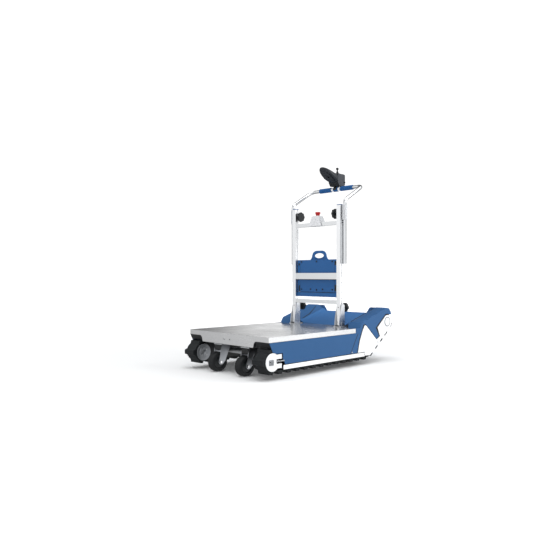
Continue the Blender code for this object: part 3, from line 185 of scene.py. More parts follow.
finishes = {
    # stainless sheet brushed along the deck: long fine streaks that smear every reflection
    "brushedStainless": makeFinish("brushed stainless sheet", {
        "dark": "C2C3C5", "light": "DADBDC", "metallic": 1.0, "roughness": (0.20, 0.30),
        "grainMm": (2.4, 160.0, 2.4), "cloudMm": 240, "cloudShare": 0.55, "bump": 0.12, "reliefMm": 0.012}),
    # zinc plated steel: cool grey, slightly cloudy from the passivation
    "zincSteel": makeFinish("zinc plated steel", {
        "dark": "ABAEB1", "light": "CACCCF", "metallic": 1.0, "roughness": (0.24, 0.38),
        "grainMm": (6.0, 6.0, 6.0), "cloudMm": 40, "cloudShare": 0.7, "bump": 0.12, "reliefMm": 0.006}),
    # pressed castor forks: the same plating, darker and a little rougher
    "castorSteel": makeFinish("dull zinc plated pressing", {
        "dark": "8E9196", "light": "ACAFB4", "metallic": 1.0, "roughness": (0.28, 0.42),
        "grainMm": (6.0, 6.0, 6.0), "cloudMm": 30, "cloudShare": 0.7, "bump": 0.12, "reliefMm": 0.006}),
    # anodised aluminium profile: pale satin metal with faint extrusion lines along its length
    "anodisedProfile": makeFinish("anodised aluminium extrusion", {
        "dark": "DADCDE", "light": "E7E8EA", "metallic": 1.0, "roughness": (0.24, 0.34),
        "grainMm": (2.5, 2.5, 220.0), "cloudMm": 120, "cloudShare": 0.6, "bump": 0.12, "reliefMm": 0.006}),
    # the same profile lying along the track
    "anodisedRail": makeFinish("anodised aluminium rail", {
        "dark": "E9EAEB", "light": "F7F7F8", "metallic": 1.0, "roughness": (0.26, 0.36),
        "grainMm": (2.5, 220.0, 2.5), "cloudMm": 120, "cloudShare": 0.6, "bump": 0.12, "reliefMm": 0.006}),
    # brushed cross bars: a shade darker than the profiles
    "brushedBar": makeFinish("brushed aluminium bar", {
        "dark": "CBCDCF", "light": "D9DBDD", "metallic": 1.0, "roughness": (0.26, 0.36),
        "grainMm": (220.0, 2.5, 2.5), "cloudMm": 120, "cloudShare": 0.6, "bump": 0.12, "reliefMm": 0.006}),
    # drawn and polished tube: sharp reflections in lines along it
    "polishedTube": makeFinish("polished stainless tube", {
        "dark": "D0D2D5", "light": "DDDFE1", "metallic": 1.0, "roughness": (0.07, 0.13),
        "grainMm": (4.0, 4.0, 60.0), "cloudMm": 60, "cloudShare": 0.7, "reliefMm": 0.003}),
    # white powder coat: orange peel skin, satin
    "whitePowder": makeFinish("white powder coat", {
        "dark": "D9DBDD", "light": "EEF0F1", "roughness": (0.30, 0.42),
        "grainMm": (2.2, 2.2, 2.2), "cloudMm": 90, "cloudShare": 0.7, "reliefMm": 0.04}),
    # moulded sliders on the mast: off-white, a little duller than the coated plates
    "paleMoulding": makeFinish("moulded off-white nylon", {
        "dark": "B2B4B7", "light": "C6C8CB", "roughness": (0.40, 0.52),
        "grainMm": (2.0, 2.0, 2.0), "cloudMm": 60, "reliefMm": 0.04}),
    # blue powder coat over folded sheet: glossy, softly rippled reflections
    "bluePowder": makeFinish("blue powder coat", {
        "dark": "30547F", "light": "385D88", "roughness": (0.34, 0.44), "specular": 0.07,
        "grainMm": (2.6, 2.6, 2.6), "cloudMm": 140, "cloudShare": 0.7, "reliefMm": 0.05}),
    # the same coat on the level cover, painted a shade paler to stand in for the light it takes from above
    "blueLitTopPowder": makeFinish("blue powder coat painted paler as lit from above", {
        "dark": "386295", "light": "426D9F", "roughness": (0.34, 0.44), "specular": 0.07,
        "grainMm": (2.6, 2.6, 2.6), "cloudMm": 140, "cloudShare": 0.7, "reliefMm": 0.05}),
    # moulded battery shell: fine spark eroded grain
    "blueMoulding": makeFinish("moulded blue ABS", {
        "dark": "194F86", "light": "20578F", "roughness": (0.36, 0.50), "specular": 0.25,
        "grainMm": (1.6, 1.6, 1.6), "cloudMm": 80, "reliefMm": 0.05}),
    # soft foam sleeve on the handle
    "blueSleeve": makeFinish("blue foam sleeve", {
        "dark": "17487E", "light": "1E558A", "roughness": (0.62, 0.80), "specular": 0.2,
        "grainMm": (2.0, 2.0, 2.0), "cloudMm": 30, "reliefMm": 0.25}),
    # black moulded plastic: faint grain, broad dull highlight
    "blackMoulding": makeFinish("moulded black nylon", {
        "dark": "14171A", "light": "1D2124", "roughness": (0.36, 0.50), "specular": 0.28,
        "grainMm": (2.0, 2.0, 2.0), "cloudMm": 40, "reliefMm": 0.06}),
    # dark grey moulding of the console's side
    "slateMoulding": makeFinish("moulded slate grey nylon", {
        "dark": "2B2F35", "light": "363A41", "roughness": (0.40, 0.52), "specular": 0.3,
        "grainMm": (2.0, 2.0, 2.0), "cloudMm": 40, "reliefMm": 0.05}),
    # black powder coat on the frame
    "blackPowder": makeFinish("black powder coat", {
        "dark": "131517", "light": "1C1E21", "roughness": (0.34, 0.46), "specular": 0.3,
        "grainMm": (2.4, 2.4, 2.4), "cloudMm": 120, "reliefMm": 0.05}),
    # vulcanised rubber of the belts: matt, dusty, slightly mottled
    "trackRubber": makeFinish("vulcanised track rubber", {
        "dark": "101315", "light": "1B1F22", "roughness": (0.60, 0.80), "specular": 0.25,
        "grainMm": (3.0, 3.0, 3.0), "cloudMm": 45, "reliefMm": 0.18}),
    # wheel treads: the same black, scuffed a little smoother by floors
    "tyreRubber": makeFinish("grey black tyre rubber", {
        "dark": "101214", "light": "1A1C1F", "roughness": (0.50, 0.70), "specular": 0.25,
        "grainMm": (2.0, 2.0, 2.0), "cloudMm": 30, "reliefMm": 0.10}),
    # charcoal moulding of the console's hood: a shade lighter than the housing
    "charcoalMoulding": makeFinish("moulded charcoal nylon", {
        "dark": "1E2226", "light": "2A2E33", "roughness": (0.40, 0.52), "specular": 0.3,
        "grainMm": (2.0, 2.0, 2.0), "cloudMm": 40, "reliefMm": 0.05}),
    # near black with almost no shine: painted shade along the console hood's ridge and in its oval recess
    "shadeRubber": makeFinish("matt black rubber painted as shade", {
        "dark": "0A0B0C", "light": "101213", "roughness": (0.70, 0.85), "specular": 0.1,
        "grainMm": (2.0, 2.0, 2.0), "cloudMm": 30, "reliefMm": 0.08}),
    # the stop box's side faces: painted shade, the same moulding in a darker mid grey
    "shadedEnclosure": makeFinish("moulded grey ABS painted darker as shade", {
        "dark": "A6A8AB", "light": "B4B6B9", "roughness": (0.40, 0.52),
        "grainMm": (1.6, 1.6, 1.6), "cloudMm": 40, "reliefMm": 0.05}),
    # the stop box: satin, with a fine even grain
    "greyEnclosure": makeFinish("moulded light grey ABS", {
        "dark": "C8C9CC", "light": "D6D7DA", "roughness": (0.40, 0.52),
        "grainMm": (1.6, 1.6, 1.6), "cloudMm": 40, "reliefMm": 0.05}),
    # moulded red cap: even colour with one tight highlight on its dome
    "redButton": makeFinish("glossy red button", {
        "dark": "9E1213", "light": "A8191A", "roughness": (0.30, 0.40), "specular": 0.25,
        "grainMm": (3.0, 3.0, 3.0), "cloudMm": 20, "reliefMm": 0.01}),
    # thick laser cut plate, clear passivated: a duller grey than the screws
    "greyPlate": makeFinish("passivated grey steel plate", {
        "dark": "7E8185", "light": "94979B", "metallic": 1.0, "roughness": (0.34, 0.46),
        "grainMm": (5.0, 5.0, 5.0), "cloudMm": 60, "cloudShare": 0.7, "bump": 0.12, "reliefMm": 0.01}),
    # small turned parts: bright, with fine cutting marks
    "brightScrew": makeFinish("bright zinc screws", {
        "dark": "9A9DA0", "light": "C8CBCD", "metallic": 1.0, "roughness": (0.22, 0.34),
        "grainMm": (1.5, 1.5, 1.5), "cloudMm": 6, "reliefMm": 0.01}),
}


# CAD nodes whose shape is right get their edges rounded and their real finish

def dressNode(node, surface, edge=0.0006, segments=2):
    body = frame["nodes"][node]["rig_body"]
    mesh = frame["nodes"][node].data.copy()
    piece = bpy.data.objects.new(node + "_dressed", mesh)
    bpy.context.scene.collection.objects.link(piece)
    startEdit(piece)
    bpy.ops.mesh.select_all(action="SELECT")
    bpy.ops.mesh.remove_doubles(threshold=edgeLook["mergeGap"])
    bpy.ops.mesh.customdata_custom_splitnormals_clear()
    if node != "mast_frame":  # its long slotted faces stay split, because one face round all the cuts shades wrongly
        bpy.ops.mesh.dissolve_limited(angle_limit=math.radians(edgeLook["flatAngle"]))
    endEdit(piece)
    softenEdges(piece, edge, segments)
    settle(piece, node + "_dressed", surface, body)
    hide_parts(node)
    return piece


def paintRegion(piece, surface, test):
    # Another finish on the faces of a dressed piece whose middle passes the test.
    piece.data.materials.append(surface)
    for face in piece.data.polygons:
        if test(face.center, face.normal):
            face.material_index = len(piece.data.materials) - 1


# node: finish and edge width, first those there is one of, then those on both sides
dressed = {
    # the centre cover takes the blue coat painted paler, as lit from above
    "deck_plate": ("brushedStainless", 0.0011), "centre_cover": ("blueLitTopPowder", 0.0009),
    "chassis_frame": ("blackPowder", 0.0012), "castor_beam": ("zincSteel", 0.0008),
    "drive_unit": ("zincSteel", 0.0010), "mast_frame": ("anodisedProfile", 0.0008),
    "battery_tray": ("blueMoulding", 0.0008), "battery_pack": ("blueMoulding", 0.0022),
    "stop_box": ("greyEnclosure", 0.0020), "console_box": ("blackMoulding", 0.0025),
    "console_bracket": ("blackMoulding", 0.0012), "drive_shaft": ("zincSteel", 0.0008),
}
dressedPairs = {
    "side_panel_": ("bluePowder", 0.0007), "rear_cover_": ("bluePowder", 0.0009),
    "track_rail_": ("anodisedRail", 0.0007), "end_plate_": ("whitePowder", 0.0007),
    "inner_plate_": ("blackPowder", 0.0006), "knuckle_plate_": ("whitePowder", 0.0008),
    "boom_plate_": ("whitePowder", 0.0008), "track_belt_": ("trackRubber", 0.0022),
    "front_guard_": ("blackPowder", 0.0008), "castor_fork_": ("castorSteel", 0.0008),
    "mast_bracket_": ("zincSteel", 0.0007), "mast_cap_": ("blueMoulding", 0.0012),
    "slide_clamp_": ("paleMoulding", 0.0010), "drive_drum_": ("zincSteel", 0.0008),
    "bend_roller_": ("blackMoulding", 0.0008), "idler_wheel_": ("blackMoulding", 0.0008),
}
for side in ("left", "right"):
    dressed.update({node + side: look for node, look in dressedPairs.items()})
dressedPieces = {node: dressNode(node, finishes[finish], edge) for node, (finish, edge) in dressed.items()}
print("CAD nodes dressed:", len(dressed))

# Regions of a dressed piece that are another metal, paint or moulding
regionLook = {"crownLow": 0.1160, "crownHalf": 0.0272, "boltFrom": 0.0300, "boltTop": 0.0750, "barHalf": 0.1700,
              # how much of a face's normal lies along X on a side
              "sideLean": 0.7,
              "tieTube": {"y": -0.339, "z": 0.100, "reach": 0.0175, "lean": 0.5},
              "consoleSide": {"y": 0.384, "z": 1.1385, "lean": 0.9}}
for side in ("left", "right"):
    fork = dressedPieces["castor_fork_" + side]
    low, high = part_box("castor_fork_" + side)
    forkX = (low.x + high.x) / 2

    def onBolt(place):
        return abs(place.x - forkX) > regionLook["boltFrom"] and place.z < regionLook["boltTop"]

    # a black crown over bright cheeks, and an axle bolt with a bright head and a flank painted black as shade round
    # it
    paintRegion(fork, finishes["blackPowder"],
                lambda place, normal: place.z > regionLook["crownLow"]
                and abs(place.x - forkX) < regionLook["crownHalf"])
    # painted shade: the bolt's flank is black to stand in for the shade round its head
    paintRegion(fork, finishes["blackPowder"],
                lambda place, normal: onBolt(place) and abs(normal.x) < regionLook["sideLean"])
    paintRegion(fork, finishes["anodisedRail"],
                lambda place, normal: onBolt(place) and abs(normal.x) > regionLook["sideLean"])
# the tie tube between the tracks is bare steel
tieTube = regionLook["tieTube"]
paintRegion(dressedPieces["chassis_frame"], finishes["zincSteel"],
            lambda place, normal: math.hypot(place.y - tieTube["y"], place.z - tieTube["z"]) < tieTube["reach"]
            and abs(normal.x) < tieTube["lean"])
paintRegion(dressedPieces["mast_frame"], finishes["brushedBar"],
            lambda place, normal: abs(place.x) < regionLook["barHalf"])
# painted shade: the stop box's side faces, picked by the way they face, take the darker grey
paintRegion(dressedPieces["stop_box"], finishes["shadedEnclosure"],
            lambda place, normal: abs(normal.x) > regionLook["sideLean"])
consoleSide = regionLook["consoleSide"]
paintRegion(dressedPieces["console_box"], finishes["slateMoulding"],
            lambda place, normal: normal.x > consoleSide["lean"] and place.z > consoleSide["z"]
            and place.y > consoleSide["y"])
print("regions painted")


# Turned pieces

def turnPiece(profile, axis, centre, steps=48):
    # A ring of points moved onto a profile of (distance along the axis, radius), then spun.
    along = Vector(axis)
    across = Vector((0, 0, 1)) if abs(along.z) < 0.5 else Vector((0, 1, 0))
    deselectAll()
    bpy.ops.mesh.primitive_circle_add(vertices=len(profile), radius=edgeLook["seedRadius"])
    piece = bpy.context.object
    mesh = startEdit(piece)
    for vertex, (reach, radius) in zip(mesh.verts, profile):
        vertex.co = Vector(centre) + along * reach + across * radius
    bmesh.update_edit_mesh(piece.data)
    bpy.ops.mesh.select_all(action="SELECT")
    bpy.ops.mesh.spin(steps=steps, angle=math.tau, center=centre, axis=axis, use_auto_merge=True)
    bpy.ops.mesh.select_all(action="SELECT")
    bpy.ops.mesh.remove_doubles(threshold=edgeLook["spinGap"])
    bpy.ops.mesh.normals_make_consistent(inside=False)
    endEdit(piece)
    smoothShade(piece, edgeLook["turnedAngle"])
    return piece


# Castor and rear wheels: moulded hub and a rounded rubber tread
wheelLook = {"inset": 0.0015, "treadDepth": 0.017, "treadRound": 0.009, "roundSteps": 6, "steps": 64,
             # distance in from the wheel's side, with the radius for the hub and the radius past the rim for the disc
             "hub": ((-0.0012, 0.0062), (-0.0012, 0.0125), (0.0040, 0.0150), (0.0065, 0.0200)),
             "disc": ((0.0065, -0.0060), (0.0012, -0.0020), (0.0012, 0.0004))}


def makeWheel(node):
    low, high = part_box(node)
    middle = (low + high) / 2
    half = (high.x - low.x) / 2 - wheelLook["inset"]
    radius = (high.z - low.z) / 2
    rim = radius - wheelLook["treadDepth"]
    bend = wheelLook["treadRound"]
    tread = [(-half, rim), (-half, radius - bend)]
    for step in range(wheelLook["roundSteps"] + 1):
        angle = math.pi / 2 * step / wheelLook["roundSteps"]
        tread.append((-half + bend - bend * math.cos(angle), radius - bend + bend * math.sin(angle)))
    ring = tread + [(-reach, size) for reach, size in reversed(tread)]
    tyre = turnPiece(ring, (1, 0, 0), middle, wheelLook["steps"])
    settle(tyre, node + "_tyre", finishes["tyreRubber"], frame["nodes"][node]["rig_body"])
    disc = [(-half + inward, size) for inward, size in wheelLook["hub"]]
    disc += [(-half + inward, rim + past) for inward, past in wheelLook["disc"]]
    hub = turnPiece(disc + [(-reach, size) for reach, size in reversed(disc)], (1, 0, 0), middle, wheelLook["steps"])
    settle(hub, node + "_hub", finishes["blackMoulding"], frame["nodes"][node]["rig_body"])
    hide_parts(node)


for node in ("castor_wheel_left", "castor_wheel_right", "rear_wheel_left", "rear_wheel_right"):
    makeWheel(node)
print("wheels made")


# Push handle: one bent tube, foam sleeves and bright end rings
handleLook = {"tubeRadius": 0.011, "tubeSink": 0.00002, "kneeZ": 1.0117, "kneeRadius": 0.035, "cornerRadius": 0.038,
              "bendSteps": 12, "sleeveRound": 0.0025, "sleeveTurns": (0.4, 0.8, 1.2), "sleeveTrim": 0.0038,
              "sleeveShift": 0.0014, "sleeveSteps": 40, "boreGap": 0.0001}


def roundedRoute(corners, radii, steps):
    route = [Vector(corners[0])]
    for index in range(1, len(corners) - 1):
        here = Vector(corners[index])
        back = (Vector(corners[index - 1]) - here).normalized()
        ahead = (Vector(corners[index + 1]) - here).normalized()
        half = back.angle(ahead) / 2
        centre = here + (back + ahead).normalized() * (radii[index - 1] / math.sin(half))
        first = here + back * (radii[index - 1] / math.tan(half)) - centre
        last = here + ahead * (radii[index - 1] / math.tan(half)) - centre
        for step in range(steps + 1):
            turn = Matrix.Rotation(first.angle(last) * step / steps, 3, first.cross(last))
            route.append(centre + turn @ first)
    route.append(Vector(corners[-1]))
    return route


def makeTube(name, route, radius, surface, body, fineness=6):
    curve = bpy.data.curves.new(name, "CURVE")
    curve.dimensions = "3D"
    curve.bevel_depth = radius
    curve.bevel_resolution = fineness
    curve.use_fill_caps = True
    spline = curve.splines.new("POLY")
    spline.points.add(len(route) - 1)
    for point, place in zip(spline.points, route):
        point.co = tuple(place) + (1.0,)
    piece = bpy.data.objects.new(name, curve)
    bpy.context.scene.collection.objects.link(piece)
    pick(piece)
    bpy.ops.object.convert(target="MESH")
    piece = bpy.context.object
    smoothShade(piece, edgeLook["tubeAngle"])
    return settle(piece, name, surface, body)


tubeLow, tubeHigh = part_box("handle_tube")
legX = tubeHigh.x - handleLook["tubeRadius"]
legY = tubeLow.y + handleLook["tubeRadius"]
barY = tubeHigh.y - handleLook["tubeRadius"]
barZ = tubeHigh.z - handleLook["tubeRadius"]
kneeZ = handleLook["kneeZ"]
route = roundedRoute(
    [(legX, legY, tubeLow.z), (legX, legY, kneeZ), (legX, barY, barZ), (-legX, barY, barZ),
     (-legX, legY, kneeZ), (-legX, legY, tubeLow.z)],
    (handleLook["kneeRadius"], handleLook["cornerRadius"], handleLook["cornerRadius"], handleLook["kneeRadius"]),
    handleLook["bendSteps"])
tube = makeTube("handle_tube_bent", route, handleLook["tubeRadius"] - handleLook["tubeSink"],
                finishes["polishedTube"], "handle")
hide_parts("handle_tube")

for node in ("grip_left", "grip_centre", "grip_right"):
    low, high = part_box(node)
    middle = (low + high) / 2
    half = (high.x - low.x) / 2
    if node != "grip_centre":
        half -= handleLook["sleeveTrim"]
        middle.x -= math.copysign(handleLook["sleeveShift"], middle.x)
    size = (high.z - low.z) / 2
    bore = handleLook["tubeRadius"] + handleLook["boreGap"]
    edge = handleLook["sleeveRound"]
    turns = handleLook["sleeveTurns"]
    profile = [(-half, bore), (-half, size - edge)]
    profile += [(-half + edge - edge * math.cos(a), size - edge + edge * math.sin(a)) for a in turns]
    profile += [(-half + edge, size), (half - edge, size)]
    profile += [(half - edge + edge * math.sin(a), size - edge + edge * math.cos(a)) for a in turns]
    profile += [(half, size - edge), (half, bore)]
    sleeve = turnPiece(profile, (1, 0, 0), middle, handleLook["sleeveSteps"])
    settle(sleeve, node + "_sleeve", finishes["blueSleeve"], "handle")
    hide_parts(node)
print("handle made")


# Star grips
knobLook = {"edge": 0.0022, "segments": 3}
for side in ("left", "right"):
    dressNode("star_knob_" + side, finishes["blackMoulding"], knobLook["edge"], knobLook["segments"])
    dressNode("lock_knob_" + side, finishes["blackMoulding"], knobLook["edge"], knobLook["segments"])
print("star grips made")


# Stop switch: a neck that flares into a rounded mushroom, measured down from its top
buttonLook = {"neck": 0.0113, "head": [(-0.0205, 0.0113), (-0.0190, 0.0122), (-0.0085, 0.0166), (-0.0060, 0.0171),
                                       (-0.0038, 0.0169), (-0.0018, 0.0155), (-0.0006, 0.0128), (0.0, 0.0085),
                                       (0.0, 0.0)]}


def makeButton():
    low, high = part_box("stop_button")
    centre = Vector(((low.x + high.x) / 2, (low.y + high.y) / 2, high.z))
    foot = low.z - high.z
    button = turnPiece([(foot, 0.0), (foot, buttonLook["neck"])] + buttonLook["head"], (0, 0, 1), centre)
    settle(button, "stop_button_mushroom", finishes["redButton"], "stop_button")
    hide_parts("stop_button")


makeButton()
print("stop switch made")


# Joystick console: the hood's round form, the ball and the stick over it
consoleLook = {"hoodEdge": 0.0008, "hoodLevels": 2, "ballRadius": 0.0115, "ballSteps": 16, "turnSteps": 32,
               "stick": [(0.0122, 0.0), (0.0122, 0.0036), (0.0150, 0.0085), (0.0180, 0.0080), (0.0200, 0.0060),
                         (0.0230, 0.0042), (0.0310, 0.0038), (0.0322, 0.0060), (0.0335, 0.0075), (0.0360, 0.0085),
                         (0.0385, 0.0088), (0.0420, 0.0083), (0.0448, 0.0068), (0.0464, 0.0042), (0.0470, 0.0)]}


def makeConsole():
    shell = dressNode("console_shell", finishes["charcoalMoulding"], consoleLook["hoodEdge"])
    applyModifier(shell, "SUBSURF", levels=consoleLook["hoodLevels"], render_levels=consoleLook["hoodLevels"])
    pick(shell)
    bpy.ops.object.shade_smooth()
    low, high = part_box("joystick_gimbal")
    middle = (low + high) / 2
    radius = consoleLook["ballRadius"]
    arc = [math.pi * (step / consoleLook["ballSteps"] - 0.5) for step in range(consoleLook["ballSteps"] + 1)]
    ball = turnPiece([(radius * math.sin(a), max(radius * math.cos(a), 0.0)) for a in arc], (0, 0, 1), middle,
                     consoleLook["turnSteps"])
    settle(ball, "joystick_boot_ball", finishes["blackMoulding"], "joystick_gimbal")
    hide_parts("joystick_gimbal")
    stick = turnPiece(consoleLook["stick"], (0, 0, 1), middle, consoleLook["turnSteps"])
    settle(stick, "joystick_stick_knob", finishes["blackMoulding"], "joystick_stick")
    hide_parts("joystick_stick")


makeConsole()
print("console made")


# Flat cut pieces and fasteners, used by every group of trim below

def plateFrom(outline, axis, low, high):
    # an outline in the plane across the axis, pulled from one height to the other
    first, second, third = {"x": (1, 2, 0), "y": (0, 2, 1), "z": (0, 1, 2)}[axis]
    deselectAll()
    bpy.ops.mesh.primitive_circle_add(vertices=len(outline), radius=edgeLook["seedRadius"], fill_type="NGON")
    piece = bpy.context.object
    mesh = startEdit(piece)
    for vertex, spot in zip(mesh.verts, outline):
        place = [low, low, low]
        place[first], place[second] = spot
        vertex.co = at(*place)
    bmesh.update_edit_mesh(piece.data)
    bpy.ops.mesh.select_all(action="SELECT")
    pull = [0.0, 0.0, 0.0]
    pull[third] = high - low
    bpy.ops.mesh.extrude_region_move(TRANSFORM_OT_translate={"value": pull})
    bpy.ops.mesh.select_all(action="SELECT")
    bpy.ops.mesh.normals_make_consistent(inside=False)
    endEdit(piece)
    return piece


def boxFrom(low, high):
    corners = [(low[0], low[1]), (high[0], low[1]), (high[0], high[1]), (low[0], high[1])]
    return plateFrom(corners, "z", low[2], high[2])


def joinPieces(pieces):
    deselectAll()
    for piece in pieces:
        piece.select_set(True)
    bpy.context.view_layer.objects.active = pieces[0]
    if len(pieces) > 1:
        bpy.ops.object.join()
    return pieces[0]


# Masters are one unit in radius and point up; each use is a sized copy
fastenerLook = {
    "screw": [(-0.2, 0.0), (-0.2, 1.0), (0.05, 1.0), (0.30, 0.92), (0.46, 0.70), (0.52, 0.52), (0.22, 0.42),
              (0.22, 0.0)],
    "washer": [(-0.2, 0.0), (-0.2, 1.2), (0.14, 1.2), (0.20, 1.12), (0.20, 0.0)],
    "hexFrom": 0.18, "hexTo": 0.82, "hexEdge": 0.08, "steps": 20}


def makeHexHead():
    low, high = fastenerLook["hexFrom"], fastenerLook["hexTo"]
    deselectAll()
    bpy.ops.mesh.primitive_cylinder_add(vertices=6, radius=1.0, depth=high - low, location=(0, 0, (low + high) / 2))
    piece = bpy.context.object
    bpy.ops.object.transform_apply(location=True, rotation=False, scale=False)
    softenEdges(piece, fastenerLook["hexEdge"])
    return piece


screwMaster = turnPiece(fastenerLook["screw"], (0, 0, 1), (0, 0, 0), fastenerLook["steps"])
washerMaster = turnPiece(fastenerLook["washer"], (0, 0, 1), (0, 0, 0), fastenerLook["steps"])
masters = {"screw": screwMaster, "bolt": joinPieces([washerMaster, makeHexHead()])}


def placeFasteners(name, kind, surface, body, spots, towards, radius):
    copies = []
    turn = Vector(towards).to_track_quat("Z", "Y").to_matrix().to_4x4()
    for place in spots:
        copy = bpy.data.objects.new(name, masters[kind].data.copy())
        bpy.context.scene.collection.objects.link(copy)
        copy.data.transform(Matrix.Translation(at(*place)) @ turn @ Matrix.Diagonal((radius, radius, radius, 1.0)))
        copies.append(copy)
    return settle(joinPieces(copies), name, surface, body)


def mirrored(spots):
    return [(-x, y, z) for x, y, z in spots] + list(spots)


# Castor bay: idler hub discs with their bolts, screws in the apron
bayLook = {"hubPlace": (-0.505, 0.097), "hubFace": 0.2352, "ringRadius": 0.0225, "ringAngles": (45, 135, 225, 315),
           "ringFace": 0.2322, "ringBolt": 0.0036,
           "hubProfile": [(-0.001, 0.0), (-0.001, 0.0490), (0.0006, 0.0490), (0.0012, 0.0484), (0.0012, 0.0310),
                          (0.0022, 0.0302), (0.0030, 0.0292), (0.0030, 0.0150), (0.0052, 0.0140), (0.0056, 0.0130),
                          (0.0056, 0.0)],
           "apronScrews": [(-0.0171, -0.5298, 0.1922), (0.0316, -0.5298, 0.1920)], "apronScrew": 0.0038,
           "cheekX": (0.3313, 0.3343),
           "cheek": [(-0.5297, 0.1983), (-0.4900, 0.1983), (-0.4860, 0.1690), (-0.5150, 0.1690)]}
for side, way in (("left", 1), ("right", -1)):
    centre = at(-way * bayLook["hubFace"], *bayLook["hubPlace"])
    hub = turnPiece(bayLook["hubProfile"], (way, 0, 0), centre)
    settle(hub, "idler_hub_disc_" + side, finishes["greyPlate"], "base")
    ring = [(-way * bayLook["ringFace"], bayLook["hubPlace"][0] + bayLook["ringRadius"] * math.cos(math.radians(a)),
             bayLook["hubPlace"][1] + bayLook["ringRadius"] * math.sin(math.radians(a)))
            for a in bayLook["ringAngles"]]
    placeFasteners("idler_hub_bolts_" + side, "bolt", finishes["brightScrew"], "base", ring, (way, 0, 0),
                   bayLook["ringBolt"])
placeFasteners("apron_screws", "screw", finishes["brightScrew"], "base", bayLook["apronScrews"], (0, -1, 0),
               bayLook["apronScrew"])
for side, way in (("left", -1), ("right", 1)):
    low, high = sorted(way * reach for reach in bayLook["cheekX"])
    settle(plateFrom(bayLook["cheek"], "x", low, high), "guard_cheek_" + side, finishes["blackPowder"], "base")
print("castor bay trim made")

# Track ends: tension slider, hub cap, plate screws and the seam between the blue skins
trackLook = {"sliderFace": 0.3387, "sliderBore": (0.3417, -0.5235, 0.0987),
             "boreProfile": [(-0.0030, 0.0), (-0.0030, 0.0062), (0.0030, 0.0062), (0.0030, 0.0)],
             "boreSteps": 32, "edgeX": (0.3364, 0.3372), "seamX": (0.3360, 0.3371), "capRim": 0.0228,
             # black strips painted as the shadow gaps where the blue skins meet the white plates
             "edges": {"skin_shade_line": [(0.2130, 0.0800), (0.2308, 0.1483), (0.2738, 0.2391), (0.2860, 0.2430),
                                     (0.2846, 0.2484), (0.2687, 0.2429), (0.2253, 0.1503), (0.2072, 0.0800)],
                       "notch_shade_line": [(0.5030, 0.2918), (0.4055, 0.2179), (0.4386, 0.1649), (0.4333, 0.1613),
                                      (0.3972, 0.2187), (0.5003, 0.2975)]},
             "hubPlace": (0.5175, 0.2500), "hubFace": 0.3405, "hubSteps": 64,
             "hubProfile": [(-0.001, 0.0), (-0.001, 0.0300), (0.0006, 0.0300), (0.0012, 0.0292), (0.0012, 0.0262),
                            (0.0002, 0.0250), (0.0002, 0.0120), (0.0009, 0.0112), (0.0012, 0.0100), (0.0012, 0.0)],
             "seam": [(0.1413, 0.0805), (0.1455, 0.0805), (0.2170, 0.1935), (0.2128, 0.1935)],
             # name: kind, finish, size, places on the right side
             "fasteners": {
                 "slider_bolt": ("bolt", "blackMoulding", 0.0034, [(0.3389, -0.5235, 0.0987)]),
                 "boom_screws": ("screw", "blackMoulding", 0.0042, [(0.3394, 0.4905, 0.1664)]),
                 "boom_bolts": ("screw", "brightScrew", 0.0022, [(0.3405, 0.5434, 0.2081), (0.3405, 0.4486, 0.2236),
                                                                 (0.3385, 0.2885, 0.2158)]),
                 "skin_bolt": ("bolt", "brightScrew", 0.0036, [(0.3366, 0.1575, 0.0858)])},
             "lip": [(0.2460, 0.496, 0.3270), (0.2120, 0.390, 0.2795), (0.2060, 0.313, 0.2535)],
             "lipRadius": 0.0021, "lipFineness": 2}


def sidePlace(way, place):
    return (way * place[0], place[1], place[2])


for side, way in (("left", -1), ("right", 1)):
    slider = dressedPieces["end_plate_" + side]
    cutter = turnPiece(trackLook["boreProfile"], (way, 0, 0), at(*sidePlace(way, trackLook["sliderBore"])),
                       trackLook["boreSteps"])
    applyModifier(slider, "BOOLEAN", operation="DIFFERENCE", solver="EXACT", object=cutter)
    bpy.data.objects.remove(cutter, do_unlink=True)
    smoothShade(slider, edgeLook["smoothAngle"])
    paintRegion(slider, finishes["greyPlate"], lambda place, normal: abs(place.x) > trackLook["sliderFace"])
    # painted shade: thin black strips stand in for the shadow gaps at the skin's and the notch's edges
    for name, edge in trackLook["edges"].items():
        low, high = sorted(way * reach for reach in trackLook["edgeX"])
        settle(plateFrom(edge, "x", low, high), name + "_" + side, finishes["blackMoulding"], "base")
    cap = turnPiece(trackLook["hubProfile"], (way, 0, 0), at(way * trackLook["hubFace"], *trackLook["hubPlace"]),
                    trackLook["hubSteps"])
    settle(cap, "hub_cap_" + side, finishes["whitePowder"], "base")
    hubPlace = at(0, *trackLook["hubPlace"])
    paintRegion(cap, finishes["greyPlate"], lambda place, normal: (place - hubPlace).yz.length > trackLook["capRim"])
    low, high = sorted(way * reach for reach in trackLook["seamX"])
    settle(plateFrom(trackLook["seam"], "x", low, high), "skin_seam_" + side, finishes["blackMoulding"], "base")
    for name, (kind, finish, size, places) in trackLook["fasteners"].items():
        placeFasteners(name + "_" + side, kind, finishes[finish], "base", [sidePlace(way, spot) for spot in places],
                       (way, 0, 0), size)
    # rubber lip that runs up the inner fold of the hump
    makeTube("hump_lip_" + side, [at(*sidePlace(way, place)) for place in trackLook["lip"]], trackLook["lipRadius"],
             finishes["blackMoulding"], "base", trackLook["lipFineness"])
print("track trim made")

